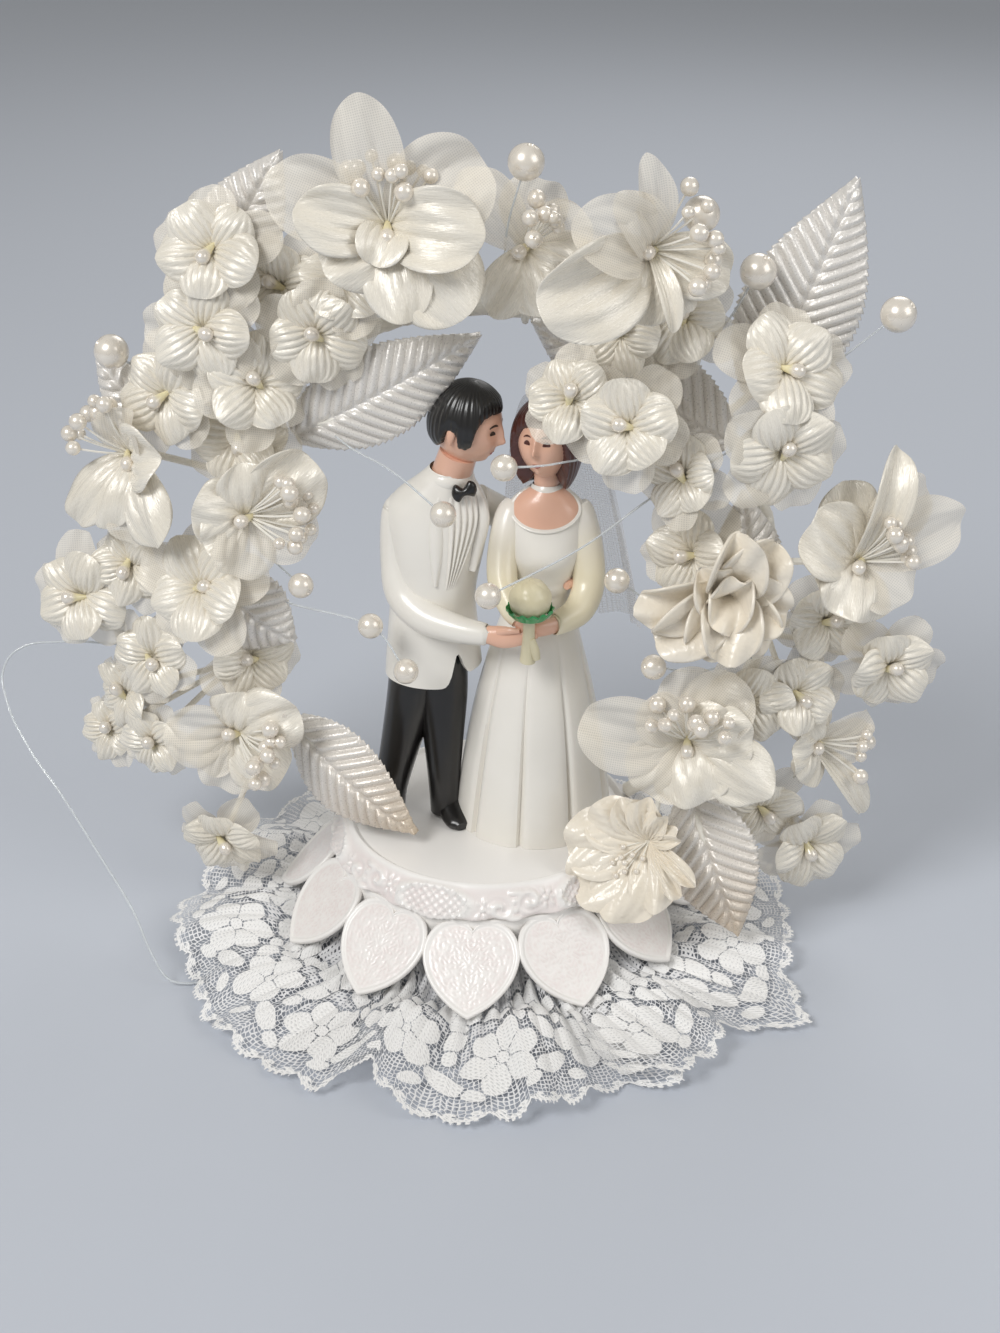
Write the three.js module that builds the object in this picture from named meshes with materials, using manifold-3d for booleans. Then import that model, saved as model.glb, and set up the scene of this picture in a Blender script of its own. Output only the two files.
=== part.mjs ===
// Wedding cake topper: a couple under a flowered hoop, on a base with a skirt of hearts and a lace ruffle.
// Millimetres, +Z up. The origin is the centre of the underside, and the couple faces -Y.
import * as THREE from 'three';
import { mergeVertices } from 'three/addons/utils/BufferGeometryUtils.js';
import Module from 'manifold-3d';

const wasm = await Module();
wasm.setup();

// Clearances
const FIT = 0.3; // between neighbouring pieces
const WELD = 0.001; // corners closer than this are one
const SWAY_ROOM = 0.6; // round the path of a springing pearl
const SWAY = 6; // degrees that a pearl springs to each side

// Base
const PLATFORM_HEIGHT = 28;
const PLATFORM_RADIUS = 33.6;
const PLATFORM_THICKNESS = 2.2;
const BORDER_WIDTH = 3.4; // raised scroll border round the platform
const BORDER_RISE = 1.2;
const BORDER_DROP = 7;
const BORDER_CREST = [0.25, 0.6]; // inner and outer edge of its flat top, as shares of its width
const PEDESTAL_WALL = 2;
const PLATE_THICKNESS = 1.6;
const BASE_SIDES = 24;

// Skirt of hearts
const HEART_COUNT = 12;
const HEART_LAP = 0.2; // of neighbouring hearts, where they are widest
const HEART_LENGTH = 24.6;
const HEART_THICKNESS = 1.4;
const HEART_TIP_HEIGHT = 3.8; // of a heart's front face at its tip
const HEART_RISE = 0.2; // of its front face above the collar, at its upper end
const HEART_BITE = 1.6; // reach of its upper end into the collar
const HEART_STEPS = 4; // of each curve of its outline
const COLLAR_WALL = 2.8;
const COLLAR_HEIGHT = 8;

// Lace ruffle
const LACE_RADIUS = 76; // mean reach of the scalloped edge
const LACE_WAVE = 4;
const LACE_SHIFT = 10; // of the edge to the front
const LACE_FOLDS = 13;
const LACE_FOLD_HEIGHT = 5;
const LACE_THICKNESS = 0.7;
const LACE_LIFT = 0.3; // of its lowest line above the table
const LACE_DIP = 2 / 3; // share of the width that lies under the hearts
const LACE_DROP = 2.7; // of the gathered edge below the collar

// Couple
const BOUQUET_RADIUS = 5;
const BOUQUET_COLLAR = 6;
const BOUQUET_COLLAR_HEIGHT = 1.6; // above and below its middle
const BOUQUET_HANDLE = 1.5;
const VEIL_THICKNESS = 0.8;
const VEIL_TOP = 109; // above the platform, as the next
const VEIL_FOOT = 40;
const VEIL_GATHER = 6; // half width where it is gathered on the hair
const VEIL_SPREAD = 17; // half width at its foot
const VEIL_DEPTH = [4, 15]; // how far it curves back, at the top and at its foot
const VEIL_TURN = [-60, 75]; // degrees round the back of the head

// Hoop
const HOOP_RADIUS = 68;
const HOOP_SEAT = 1; // of its ends above the platform, in the border
const HOOP_DEPTH = 10; // behind the middle of the base
const HOOP_THICKNESS = 4;
const HOOP_STEPS = 26;

// Flowers
const PETAL_THICKNESS = 1;
const STEM_RADIUS = 0.9;
const TWIST = 5; // from the middle of the hoop to where its stems meet in front
const STAMEN_RADIUS = 0.45;
const STAMEN_HEAD = 1.5;
const STAMEN_LENGTH = 15;
const STAMEN_SHORT = 0.85; // length of every other stamen, as a share
const STAMEN_LIFT = [-8, 12]; // degrees that neighbouring stamens part by
const BLOSSOM_PETALS = 5;
const BLOSSOM_NOTCH = 0.68; // reach of the notch between its petals
const BLOSSOM_ROUND = 0.15; // how far the two corners of a petal draw together
const BLOSSOM_CUP = 0.25; // rise of its rim, as a share of its radius
const PETAL_WIDEST = 0.75; // where a large petal is widest, as a share of its length
const PETAL_SHOULDER = 0.85; // reach of its shoulders
const PETAL_CROWD = 0.42; // most of the angle to the next petal that a shoulder takes
const PETAL_NOTCH = 0.5; // reach of the notch to the next petal

// Leaves, pearls and strand
const LEAF_BOW = 3; // of the midrib to the front
const LEAF_FOLD = 0.8; // fall of the edges, as a share of the bow
const LEAF_SPAN = [0.06, 0.97]; // part of a sine arch that its outline follows
const LEAF_BELLY = 0.85; // below 1, it is widest nearer the foot
const LEAF_WIRED = 0.12; // where the wire meets it, as a share of its length
const NYLON_RADIUS = 0.4;
const PEARL_OUTER = 4; // radius of the pearls outside the hoop
const PEARL_INNER = 3; // radius of the pearls inside the hoop
const STRAND_RADIUS = 0.3;

// Colours and finishes
const WHITE = 0xf6f4f2;
const IVORY = 0xf1e9dc;
const CREAM = 0xf3e6cf;
const STRAW = 0xf5ecc9;
const PEARL = 0xf4ead9;
const CLEAR = 0xe8eef2;
const SATIN = { roughness: 0.45, metalness: 0 };
const GLOSS = { roughness: 0.25, metalness: 0 };
const CLOTH = { roughness: 0.8, metalness: 0 };

const BALL_ROWS = 0.75; // rows of a ball's faces, as a share of its sides
const degrees = THREE.MathUtils.degToRad;
const lerp = THREE.MathUtils.lerp;
const point = (x, y, z) => new THREE.Vector3(x, y, z);
const many = (count, each) => Array.from({ length: count }, (_, k) => each(k));

// Heights and radii that follow from the sizes above
const borderRadius = PLATFORM_RADIUS + BORDER_WIDTH;
const wallRadius = PLATFORM_RADIUS + PEDESTAL_WALL;
const plateTop = PLATE_THICKNESS + FIT;
const floor = PLATFORM_HEIGHT + FIT; // that the couple stands on
const hoopFoot = Math.sqrt((PLATFORM_RADIUS + BORDER_WIDTH / 2) ** 2 - HOOP_DEPTH ** 2); // from the middle
const hoopReach = 180 - Math.asin(hoopFoot / HOOP_RADIUS) / degrees(1); // degrees from the top to each end
const hoopHeight = PLATFORM_HEIGHT + HOOP_SEAT + Math.sqrt(HOOP_RADIUS ** 2 - hoopFoot ** 2); // of its centre

// A closed geometry from points and triangles, turned so that its faces point out.
function closed(points, faces) {
  const volume = new THREE.Vector3();
  let sum = 0;
  for (let k = 0; k < faces.length; k += 3) {
    volume.crossVectors(points[faces[k]], points[faces[k + 1]]);
    sum += volume.dot(points[faces[k + 2]]);
  }
  const index = sum < 0 ? faces.toReversed() : faces;
  const geometry = new THREE.BufferGeometry().setFromPoints(points);
  return geometry.setIndex(index);
}

function middle(loop) {
  return loop.reduce((sum, p) => sum.add(p), point(0, 0, 0)).divideScalar(loop.length);
}

// A solid over rings of points, each closed on itself, with a fan at both ends.
function rings(loops, ends = [loops[0], loops.at(-1)].map(middle)) {
  const sides = loops[0].length;
  const points = [...loops.flat(), ...ends];
  const first = loops.length * sides;
  const top = first - sides;
  const faces = [];
  for (let k = 0; k < sides; k += 1) {
    const next = (k + 1) % sides;
    for (let row = 0; row < top; row += sides) {
      faces.push(row + k, row + next, row + sides + next);
      faces.push(row + k, row + sides + next, row + sides + k);
    }
    faces.push(first, next, k, first + 1, top + k, top + next);
  }
  return closed(points, faces);
}

// A plate of even thickness over a surface of two parameters from 0 to 1. A round one closes along u.
function plate(surface, columns, rows, thickness, round = false) {
  const across = round ? columns : columns + 1;
  const step = 0.01;
  const sides = [[], []];
  for (let j = 0; j <= rows; j += 1) {
    for (let i = 0; i < across; i += 1) {
      const u = i / columns;
      const v = j / rows;
      const du = round || u < 1 ? step : -step;
      const dv = v < 1 ? step : -step;
      const here = surface(u, v);
      const along = surface(u + du, v).sub(here).multiplyScalar(Math.sign(du));
      const over = surface(u, v + dv).sub(here).multiplyScalar(Math.sign(dv));
      const normal = along.cross(over).setLength(thickness / 2);
      sides[0].push(here.clone().add(normal));
      sides[1].push(here.clone().sub(normal));
    }
  }
  const back = sides[0].length;
  const faces = [];
  const quad = (a, b, c, d) => faces.push(a, b, c, a, c, d);
  for (let i = 0; i < columns; i += 1) {
    const next = (i + 1) % across;
    for (let j = 0; j < rows; j += 1) {
      const a = j * across + i;
      const b = j * across + next;
      quad(a, b, b + across, a + across);
      quad(back + a, back + a + across, back + b + across, back + b);
    }
    const edge = rows * across;
    quad(i, back + i, back + next, next);
    quad(edge + i, edge + next, back + edge + next, back + edge + i);
  }
  for (let j = 0; j < rows && !round; j += 1) {
    const a = j * across;
    const b = a + across;
    quad(a, b, back + b, back + a);
    quad(a + columns, back + a + columns, back + b + columns, b + columns);
  }
  return closed([...sides[0], ...sides[1]], faces);
}

// A round bar along points.
function bar(points, radius, steps, sides) {
  const turn = (k) => (2 * Math.PI * k) / sides;
  const corner = (k) => new THREE.Vector2(radius * Math.cos(turn(k)), radius * Math.sin(turn(k)));
  const section = new THREE.Shape(many(sides, corner));
  const bent = points.length > 2;
  const extrudePath = bent ? new THREE.CatmullRomCurve3(points) : new THREE.LineCurve3(...points);
  return new THREE.ExtrudeGeometry(section, { steps, bevelEnabled: false, extrudePath });
}

// A limb along points with a radius at each.
function limb(points, radii, sides = 8) {
  const curve = new THREE.CatmullRomCurve3(points);
  const last = points.length - 1;
  const frames = curve.computeFrenetFrames(last);
  const loop = (radius, i) => many(sides, (k) => {
    const turn = (2 * Math.PI * k) / sides;
    const p = curve.getPoint(i / last);
    p.addScaledVector(frames.normals[i], radius * Math.cos(turn));
    return p.addScaledVector(frames.binormals[i], radius * Math.sin(turn));
  });
  return rings(radii.map(loop));
}

// A body over level oval rings: x, y and z of each middle, its half width and half depth, and any pleats.
function loft(levels, grow, sides = 11) {
  const loop = ({ x, y, z, wide, deep = wide, pleat = 0, pleats = 0 }) => many(sides, (k) => {
    const turn = (2 * Math.PI * k) / sides;
    const swell = 1 + pleat * Math.cos(pleats * turn);
    return point(x + (wide + grow) * swell * Math.cos(turn), y + (deep + grow) * swell * Math.sin(turn), z);
  });
  return rings(levels.map(loop));
}

function ball(centre, radius, sides = 8) {
  const geometry = new THREE.SphereGeometry(radius, sides, Math.round(sides * BALL_ROWS));
  return geometry.translate(centre.x, centre.y, centre.z);
}

function egg(centre, wide, deep, high, grow, sides = 10) {
  const geometry = new THREE.SphereGeometry(1, sides, Math.round(sides * BALL_ROWS));
  geometry.rotateX(Math.PI / 2).scale(wide + grow, deep + grow, high + grow);
  return geometry.translate(centre.x, centre.y, centre.z);
}

// A lathe turned round +Z from pairs of radius and height.
function turned(profile, sides = BASE_SIDES) {
  const geometry = new THREE.LatheGeometry(profile.map(([r, z]) => new THREE.Vector2(r, z)), sides);
  return geometry.rotateX(Math.PI / 2);
}

// One solid from a closed geometry, and one from several.
function solidOf(geometry) {
  const bare = geometry.clone();
  bare.deleteAttribute('normal');
  bare.deleteAttribute('uv');
  const merged = mergeVertices(bare, WELD);
  const { array } = merged.index;
  const triangles = [];
  for (let k = 0; k < array.length; k += 3) {
    const [a, b, c] = array.subarray ? array.subarray(k, k + 3) : array.slice(k, k + 3);
    if (a !== b && b !== c && c !== a) triangles.push(a, b, c);
  }
  return new wasm.Manifold(new wasm.Mesh({
    numProp: 3,
    vertProperties: new Float32Array(merged.attributes.position.array),
    triVerts: new Uint32Array(triangles),
  }));
}

function join(geometries) {
  return geometries.map(solidOf).reduce((whole, solid) => whole.add(solid));
}

function geometryOf(solid) {
  const mesh = solid.getMesh();
  const geometry = new THREE.BufferGeometry();
  geometry.setAttribute('position', new THREE.BufferAttribute(new Float32Array(mesh.vertProperties), 3));
  geometry.setIndex(new THREE.BufferAttribute(new Uint32Array(mesh.triVerts), 1));
  const faceted = geometry.toNonIndexed();
  faceted.computeVertexNormals();
  return faceted;
}

const topper = new THREE.Group();
topper.name = 'wedding_cake_topper';
const taken = [];

function meets(a, b) {
  const one = a.boundingBox();
  const two = b.boundingBox();
  return [0, 1, 2].every((k) => one.min[k] < two.max[k] && two.min[k] < one.max[k]);
}

// The main body of a solid, without the crumbs that a cut leaves.
function largest(solid) {
  return solid.decompose().reduce((most, part) => (part.volume() > most.volume() ? part : most));
}

// Adds a piece, trimmed back from the pieces before it. make(grow) gives its closed geometries, swollen.
// turns are the ways that the piece can stand, all of which later pieces keep clear of.
function add(name, colour, finish, make, turns = [new THREE.Matrix4()], room = FIT) {
  let solid = join(make(0));
  for (const other of taken) {
    if (meets(solid, other)) solid = solid.subtract(other);
  }
  solid = largest(solidOf(geometryOf(largest(solid))));
  const material = new THREE.MeshStandardMaterial({ color: colour, ...finish });
  const mesh = new THREE.Mesh(geometryOf(solid), material);
  mesh.name = name;
  topper.add(mesh);
  for (const turn of turns) {
    taken.push(join(make(room).map((geometry) => geometry.clone().applyMatrix4(turn))));
  }
}

// A place round the hoop: clock is the angle from its top, out the distance outside its centre line and fore
// the distance in front of it.
function onHoop(clock, out = 0, fore = 0) {
  const reach = HOOP_RADIUS + out;
  const turn = degrees(clock);
  return point(reach * Math.sin(turn), HOOP_DEPTH - fore, hoopHeight + reach * Math.cos(turn));
}

// The frame of a flower that looks yaw degrees to the right and pitch degrees up.
function facing(place, yaw, pitch) {
  const look = point(Math.sin(degrees(yaw)) * Math.cos(degrees(pitch)), 0, Math.sin(degrees(pitch)));
  look.y = -Math.cos(degrees(yaw)) * Math.cos(degrees(pitch));
  const right = point(Math.cos(degrees(yaw)), Math.sin(degrees(yaw)), 0);
  const up = new THREE.Vector3().crossVectors(look, right);
  return new THREE.Matrix4().makeBasis(right, up, look).setPosition(place);
}

// A wrapped wire from a flower to the twist in front of the hoop, and from there to the hoop.
function stem(place, root, grow) {
  return bar([place, onHoop(root, 0, TWIST)], STEM_RADIUS + grow, 1, 3);
}

function twist(root, grow) {
  return bar([onHoop(root, 0, TWIST + STEM_RADIUS), onHoop(root)], STEM_RADIUS + grow, 1, 3);
}

// The hoop: a taped wire ring, open below, with its ends in the border.
add('arch_hoop', WHITE, CLOTH, (grow) => {
  const path = many(HOOP_STEPS + 1, (k) => onHoop(lerp(-hoopReach, hoopReach, k / HOOP_STEPS)));
  return [bar(path, HOOP_THICKNESS / 2 + grow, HOOP_STEPS, 8)];
});

// The base: a flat plate below, and a bell with the platform and its raised border, notched for the hoop.
add('bottom_plate', WHITE, GLOSS, (grow) => [turned([
  [0, -grow],
  [wallRadius + grow, -grow],
  [wallRadius + grow, PLATE_THICKNESS + grow],
  [0, PLATE_THICKNESS + grow],
])]);

add('base_pedestal', WHITE, GLOSS, (grow) => [turned([
  [0, PLATFORM_HEIGHT - PLATFORM_THICKNESS - grow],
  [PLATFORM_RADIUS - grow, PLATFORM_HEIGHT - PLATFORM_THICKNESS - grow],
  [PLATFORM_RADIUS - grow, plateTop - grow],
  [wallRadius + grow, plateTop - grow],
  [wallRadius + grow, PLATFORM_HEIGHT - BORDER_DROP - grow],
  [borderRadius + grow, PLATFORM_HEIGHT - BORDER_DROP - grow],
  [borderRadius + grow, PLATFORM_HEIGHT - BORDER_RISE],
  [lerp(PLATFORM_RADIUS, borderRadius, BORDER_CREST[1]), PLATFORM_HEIGHT + BORDER_RISE + grow],
  [lerp(PLATFORM_RADIUS, borderRadius, BORDER_CREST[0]), PLATFORM_HEIGHT + BORDER_RISE + grow],
  [PLATFORM_RADIUS - grow, PLATFORM_HEIGHT + grow],
  [0, PLATFORM_HEIGHT + grow],
])]);

// A heart in the XY plane with its tip down, and its middle at the origin. Its right half is two cubic curves
// from the notch to the tip, in half widths and half lengths.
const HEART_NOTCH = 0.72;
const HEART_WIDEST = 0.3;
const HEART_LOBE = [0.1, 1, 0.88, 1.1, 1, HEART_WIDEST];
const HEART_SIDE = [1, -0.3, 0.52, -0.76, 0, -1];

function heartOutline(grow) {
  const wide = heartWidth / 2 + grow;
  const high = HEART_LENGTH / 2 + grow;
  const sized = (curve) => curve.map((share, k) => share * (k % 2 ? high : wide));
  const half = new THREE.Path().moveTo(0, HEART_NOTCH * high);
  half.bezierCurveTo(...sized(HEART_LOBE)).bezierCurveTo(...sized(HEART_SIDE));
  const right = half.getPoints(HEART_STEPS);
  const left = right.slice(1, -1).toReversed().map((p) => new THREE.Vector2(-p.x, p.y));
  return new THREE.Shape([...right, ...left]);
}

// The skirt: a collar round the pedestal, with hearts that hang out and down from it.
const collarRadius = wallRadius + FIT;
const collarTop = PLATFORM_HEIGHT - BORDER_DROP - FIT;
const heartDrop = collarTop + HEART_RISE - HEART_TIP_HEIGHT;
const heartSlope = Math.asin(heartDrop / HEART_LENGTH);
const heartRun = HEART_LENGTH * Math.cos(heartSlope);
const heartBack = collarRadius + COLLAR_WALL - HEART_BITE + heartRun / 2;
const heartRoom = 2 * Math.tan(Math.PI / HEART_COUNT) * (heartBack - (HEART_WIDEST * heartRun) / 2);
const heartWidth = heartRoom + HEART_LAP;

add('heart_collar', WHITE, GLOSS, (grow) => {
  const collar = turned([
    [collarRadius - grow, collarTop - COLLAR_HEIGHT - grow],
    [collarRadius + COLLAR_WALL + grow, collarTop - COLLAR_HEIGHT - grow],
    [collarRadius + COLLAR_WALL + grow, collarTop + grow],
    [collarRadius - grow, collarTop + grow],
    [collarRadius - grow, collarTop - COLLAR_HEIGHT - grow],
  ]);
  const hearts = many(HEART_COUNT, (k) => {
    const geometry = new THREE.ExtrudeGeometry(heartOutline(grow), {
      depth: HEART_THICKNESS + 2 * grow,
      bevelEnabled: false,
    });
    geometry.translate(0, 0, -HEART_THICKNESS - grow);
    geometry.rotateX(heartSlope);
    geometry.translate(0, -heartBack, HEART_TIP_HEIGHT + heartDrop / 2);
    return geometry.rotateZ((2 * Math.PI * k) / HEART_COUNT);
  });
  return [collar, ...hearts];
});

// The ruffle: lace gathered on the pedestal, that dips under the hearts and spreads on the table in folds.
const laceHeadRadius = collarRadius + LACE_THICKNESS;
const laceRest = LACE_LIFT + LACE_THICKNESS / 2;
const laceTop = collarTop - COLLAR_HEIGHT - LACE_DROP;
const heartReach = heartBack + heartRun / 2;

function laceSurface(u, v) {
  const turn = 2 * Math.PI * u;
  const edge = LACE_RADIUS + LACE_WAVE * Math.cos(LACE_FOLDS * turn);
  const inner = Math.min(1, v / LACE_DIP);
  const open = Math.max(0, (v - LACE_DIP) / (1 - LACE_DIP));
  const reach = lerp(lerp(laceHeadRadius, heartReach, inner), edge, open);
  const head = (1 - inner) ** 2 * (laceTop - laceRest);
  const fold = open * LACE_FOLD_HEIGHT * (0.5 + 0.5 * Math.sin(LACE_FOLDS * turn));
  const shift = open * LACE_SHIFT;
  return point(reach * Math.sin(turn), -reach * Math.cos(turn) - shift, laceRest + head + fold);
}

add('lace_ruffle', WHITE, CLOTH, (grow) => {
  const thickness = LACE_THICKNESS + 2 * grow;
  return [plate(laceSurface, 4 * LACE_FOLDS, 3, thickness, true)];
});

// The couple, standing on the platform. Each level of a figure has its middle, half width and half depth.
add('groom_figure', IVORY, GLOSS, (grow) => {
  const hip = -14;
  const shoe = (x, y) => loft([
    { x, y, z: floor - grow, wide: 3.8, deep: 8 },
    { x, y, z: floor + 2, wide: 4, deep: 8.2 },
    { x, y: y + 3, z: floor + 4.5, wide: 3.2, deep: 5 },
  ], grow, 10);
  const leg = (x, y) => loft([
    { x, y, z: floor + 2, wide: 4.6, deep: 5 },
    { x: lerp(x, hip, 0.4), y: y + 2, z: floor + 20, wide: 5.6, deep: 6 },
    { x: lerp(x, hip, 0.7), y: 0, z: floor + 44, wide: 7, deep: 7.5 },
  ], grow, 10);
  const jacket = loft([
    { x: -15, y: 1, z: floor + 37 - grow, wide: 12.5, deep: 9.5 },
    { x: -14, y: 0, z: floor + 48, wide: 11.5, deep: 9 },
    { x: -13, y: 0, z: floor + 62, wide: 10.5, deep: 8.5 },
    { x: -12, y: 0, z: floor + 75, wide: 12.5, deep: 9 },
    { x: -11.5, y: 0, z: floor + 83, wide: 12.5, deep: 8 },
    { x: -9.5, y: 0, z: floor + 89, wide: 7, deep: 6 },
    { x: -6, y: -1.5, z: floor + 95, wide: 4.5 },
  ], grow);
  const arm = limb(
    [
      point(-22, 0, floor + 83),
      point(-22.5, -2, floor + 70),
      point(-21.5, -4, floor + 60),
      point(-12, -11, floor + 55),
      point(0, -15, floor + 57),
      point(5, -15.5, floor + 58),
    ],
    [4.6, 4.6, 4.5, 4, 3.4, 2.4].map((radius) => radius + grow),
  );
  const head = egg(point(-4, -2, floor + 102), 8, 9, 9.8, grow);
  return [shoe(-25, -5), shoe(-6.5, -6), leg(-24, -2), leg(-8, -3), jacket, arm, head];
});

add('bride_figure', IVORY, GLOSS, (grow) => {
  const dress = loft([
    { x: 11.5, y: 1, z: floor - grow, wide: 19.5, pleat: 0.04, pleats: 9 },
    { x: 11.5, y: 1, z: floor + 17, wide: 17.5, pleat: 0.04, pleats: 9 },
    { x: 11.8, y: 0.5, z: floor + 34, wide: 14.5, pleat: 0.03, pleats: 9 },
    { x: 12, y: 0, z: floor + 48, wide: 10.5, pleat: 0.02, pleats: 9 },
    { x: 12.5, y: 0, z: floor + 58, wide: 8, deep: 7 },
    { x: 13, y: 0, z: floor + 70, wide: 9.5, deep: 7.5 },
    { x: 14, y: 0, z: floor + 81, wide: 10, deep: 6.5 },
    { x: 14, y: 0, z: floor + 86, wide: 6, deep: 5.5 },
    { x: 14, y: -0.5, z: floor + 93, wide: 4 },
  ], grow, 18);
  const arm = limb(
    [
      point(22, 0, floor + 81),
      point(25.5, -2, floor + 69),
      point(26, -4, floor + 61),
      point(19, -10, floor + 57.5),
      point(12, -14, floor + 59),
    ],
    [4.4, 4.2, 4, 3.4, 2.6].map((radius) => radius + grow),
  );
  const head = egg(point(14, -1, floor + 99.5), 7.8, 8.6, 9.4, grow);
  return [dress, arm, head];
});

add('bouquet', STRAW, SATIN, (grow) => {
  const heart = point(10.7, -18.4, floor + 68);
  const handle = [point(11.4, -16.8, floor + 50), heart];
  return [
    ball(heart, BOUQUET_RADIUS + grow),
    egg(point(10.7, -18.2, floor + 65), BOUQUET_COLLAR, BOUQUET_COLLAR, BOUQUET_COLLAR_HEIGHT, grow, 8),
    bar(handle, BOUQUET_HANDLE + grow, 1, 6),
  ];
});

// The veil: a sheet that hangs from the back of the bride's hair and spreads behind the arm.
function veilSurface(u, v) {
  const turn = degrees(lerp(...VEIL_TURN, u));
  const x = lerp(14, 19, v) + lerp(VEIL_GATHER, VEIL_SPREAD, Math.sqrt(v)) * Math.sin(turn);
  const y = lerp(6, 1, v) + lerp(...VEIL_DEPTH, v) * Math.cos(turn);
  return point(x, y, floor + lerp(VEIL_TOP, VEIL_FOOT, v));
}

add('bride_veil', WHITE, CLOTH, (grow) => [plate(veilSurface, 5, 4, VEIL_THICKNESS + 2 * grow)]);

// A spray of pearls on a nylon stalk that springs about its knot on the hoop.
function pearlSpray(radius, name, root, via, heads) {
  const knot = onHoop(root);
  const path = [knot, ...via, ...heads];
  const make = (grow) => [
    bar(path, NYLON_RADIUS + grow, 2 * path.length, 4),
    ...heads.map((place) => ball(place, radius + grow, 6)),
  ];
  const turns = [-1, -0.5, 0, 0.5, 1].map((share) => {
    const to = new THREE.Matrix4().makeTranslation(knot);
    const from = new THREE.Matrix4().makeTranslation(knot.clone().negate());
    return to.multiply(new THREE.Matrix4().makeRotationY(degrees(share * SWAY))).multiply(from);
  });
  add(name, PEARL, GLOSS, make, turns, SWAY_ROOM);
}

// The pearls: the clock of the knot, the places that the stalk passes, and the places of the pearls.
const outerPearls = [
  ['pearl_top', 3, [onHoop(3, 20, 12)], [onHoop(5, 37, 16)]],
  ['pearl_top_right', 28, [onHoop(28, 20, 4)], [onHoop(26, 38, 20)]],
  ['pearl_right_upper', 38, [onHoop(38, 18, 8)], [onHoop(36, 33, 14)]],
  ['pearl_right', 53, [onHoop(53, 24, 6)], [onHoop(51, 48, 14)]],
  ['pearl_left', -58, [onHoop(-57, 18, 6)], [onHoop(-55, 36, 14)]],
];
const innerPearls = [
  ['pearl_before_bride', 44, [onHoop(36, -16, 18), onHoop(22, -23, 29)], [onHoop(8, -26, 32)]],
  ['pearl_before_groom', -46, [onHoop(-38, -16, 18), onHoop(-27, -25, 28)], [onHoop(-14.5, -37, 32)]],
  ['pearl_at_bouquet', 58, [onHoop(52, -18, 18), onHoop(44, -35, 34)], [onHoop(12, -54, 39)]],
  ['pearl_bride_side', 92, [onHoop(90, -22, 16)], [onHoop(71, -35, 22)]],
  ['pearl_skirt_side', 106, [onHoop(104, -15, 20)], [onHoop(100, -27, 30)]],
  ['pearl_pair_groom_side', -92, [onHoop(-89, -22, 20)], [onHoop(-93, -42, 26), onHoop(-121, -48, 31)]],
  ['pearl_left_inner', -78, [onHoop(-78, -12, 12)], [onHoop(-80, -25, 24)]],
];
outerPearls.forEach((row) => pearlSpray(PEARL_OUTER, ...row));
innerPearls.forEach((row) => pearlSpray(PEARL_INNER, ...row));

// A five-petal blossom at its place round the hoop. It looks yaw degrees to the right and pitch degrees up.
function blossom([clock, out, fore, radius, yaw = 0, pitch = 10], root, grow) {
  const place = onHoop(clock, out, fore);
  const frame = facing(place, yaw, pitch);
  const draw = [0, BLOSSOM_ROUND, -BLOSSOM_ROUND]; // of a notch and the two corners of a petal
  const rim = (rise) => many(3 * BLOSSOM_PETALS, (k) => {
    const turn = (2 * Math.PI * (k + draw[k % 3])) / (3 * BLOSSOM_PETALS);
    const reach = radius * (k % 3 ? 1 : BLOSSOM_NOTCH) + grow;
    const corner = point(reach * Math.cos(turn), reach * Math.sin(turn), BLOSSOM_CUP * radius + rise);
    return corner.applyMatrix4(frame);
  });
  const half = PETAL_THICKNESS / 2 + grow;
  const ends = [point(0, 0, -half), point(0, 0, half)].map((p) => p.applyMatrix4(frame));
  return [rings([rim(-half), rim(half)], ends), stem(place, root, grow)];
}

// A spray: blossoms on wires that meet on the hoop, each with its clock, out, fore, radius, yaw and pitch.
function spray(name, root, heads) {
  add(name, IVORY, SATIN, (grow) => [
    twist(root, grow),
    ...heads.flatMap((head) => blossom(head, root, grow)),
  ]);
}

spray('spray_top_left', -38, [
  [-35, 35, 18, 12.5, -10, 20],
  [-42, 24, 22, 11.7, -15, 10],
  [-31, 20, 12, 11, 0, 20],
  [-22, 15, 13, 11, 10, 15],
]);
spray('spray_left_upper', -54, [
  [-55, 20, 16, 12.5, -25, 10],
  [-55, 1, 14, 12.1],
]);
spray('spray_inner_upper', -36, [
  [-43, 7, 20, 12.1, 10],
  [-29, 8, 18, 12.1, 10],
]);
spray('spray_left', -94, [
  [-85, -2, 24, 13.2, 5, 15],
  [-105, -9, 17, 11, 5, 5],
]);
spray('spray_far_left', -96, [
  [-91, 30, 14, 12.1, -25, -5],
  [-101, 14, 18, 10.7, -15],
  [-85, 17, 15, 9.9, -10],
]);
spray('spray_lower_left', -110, [
  [-108, 26, 12, 9.9, -30],
  [-116, 24, 16, 9.9, -20, 0],
  [-114, 38, 6, 8.5, -25],
]);
spray('blossom_low_left', -126, [[-135, 27, 16, 11, -10, -15]]);
spray('spray_over_bride', 36, [
  [19, -10, 24, 11.6, -10, 20],
  [33, -8, 27, 12.1, 0, 10],
  [51, -9, 22, 9.9, -10, 5],
]);
spray('spray_top_right', 30, [
  [32, 15, 13, 11, 0, 15],
  [24, 6, 15, 9.9, 0, 15],
]);
spray('spray_right_upper', 69, [
  [47, 22, 20, 13.2, 5, 15],
  [56, 12, 24, 13.2, 5, 10],
]);
spray('blossom_right_inner', 74, [[72, -17, 16, 12, -5]]);
spray('spray_right', 98, [
  [97, 28, 14, 11.8, 25, -5],
  [104, 8, 18, 10.5, 15, 5],
  [91, 12, 12, 11, 15, 5],
]);
spray('spray_right_lower', 124, [
  [128, 33, 14, 12.1, 20, -5],
  [126, 16, 19, 9.9, 10, 0],
]);
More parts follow.
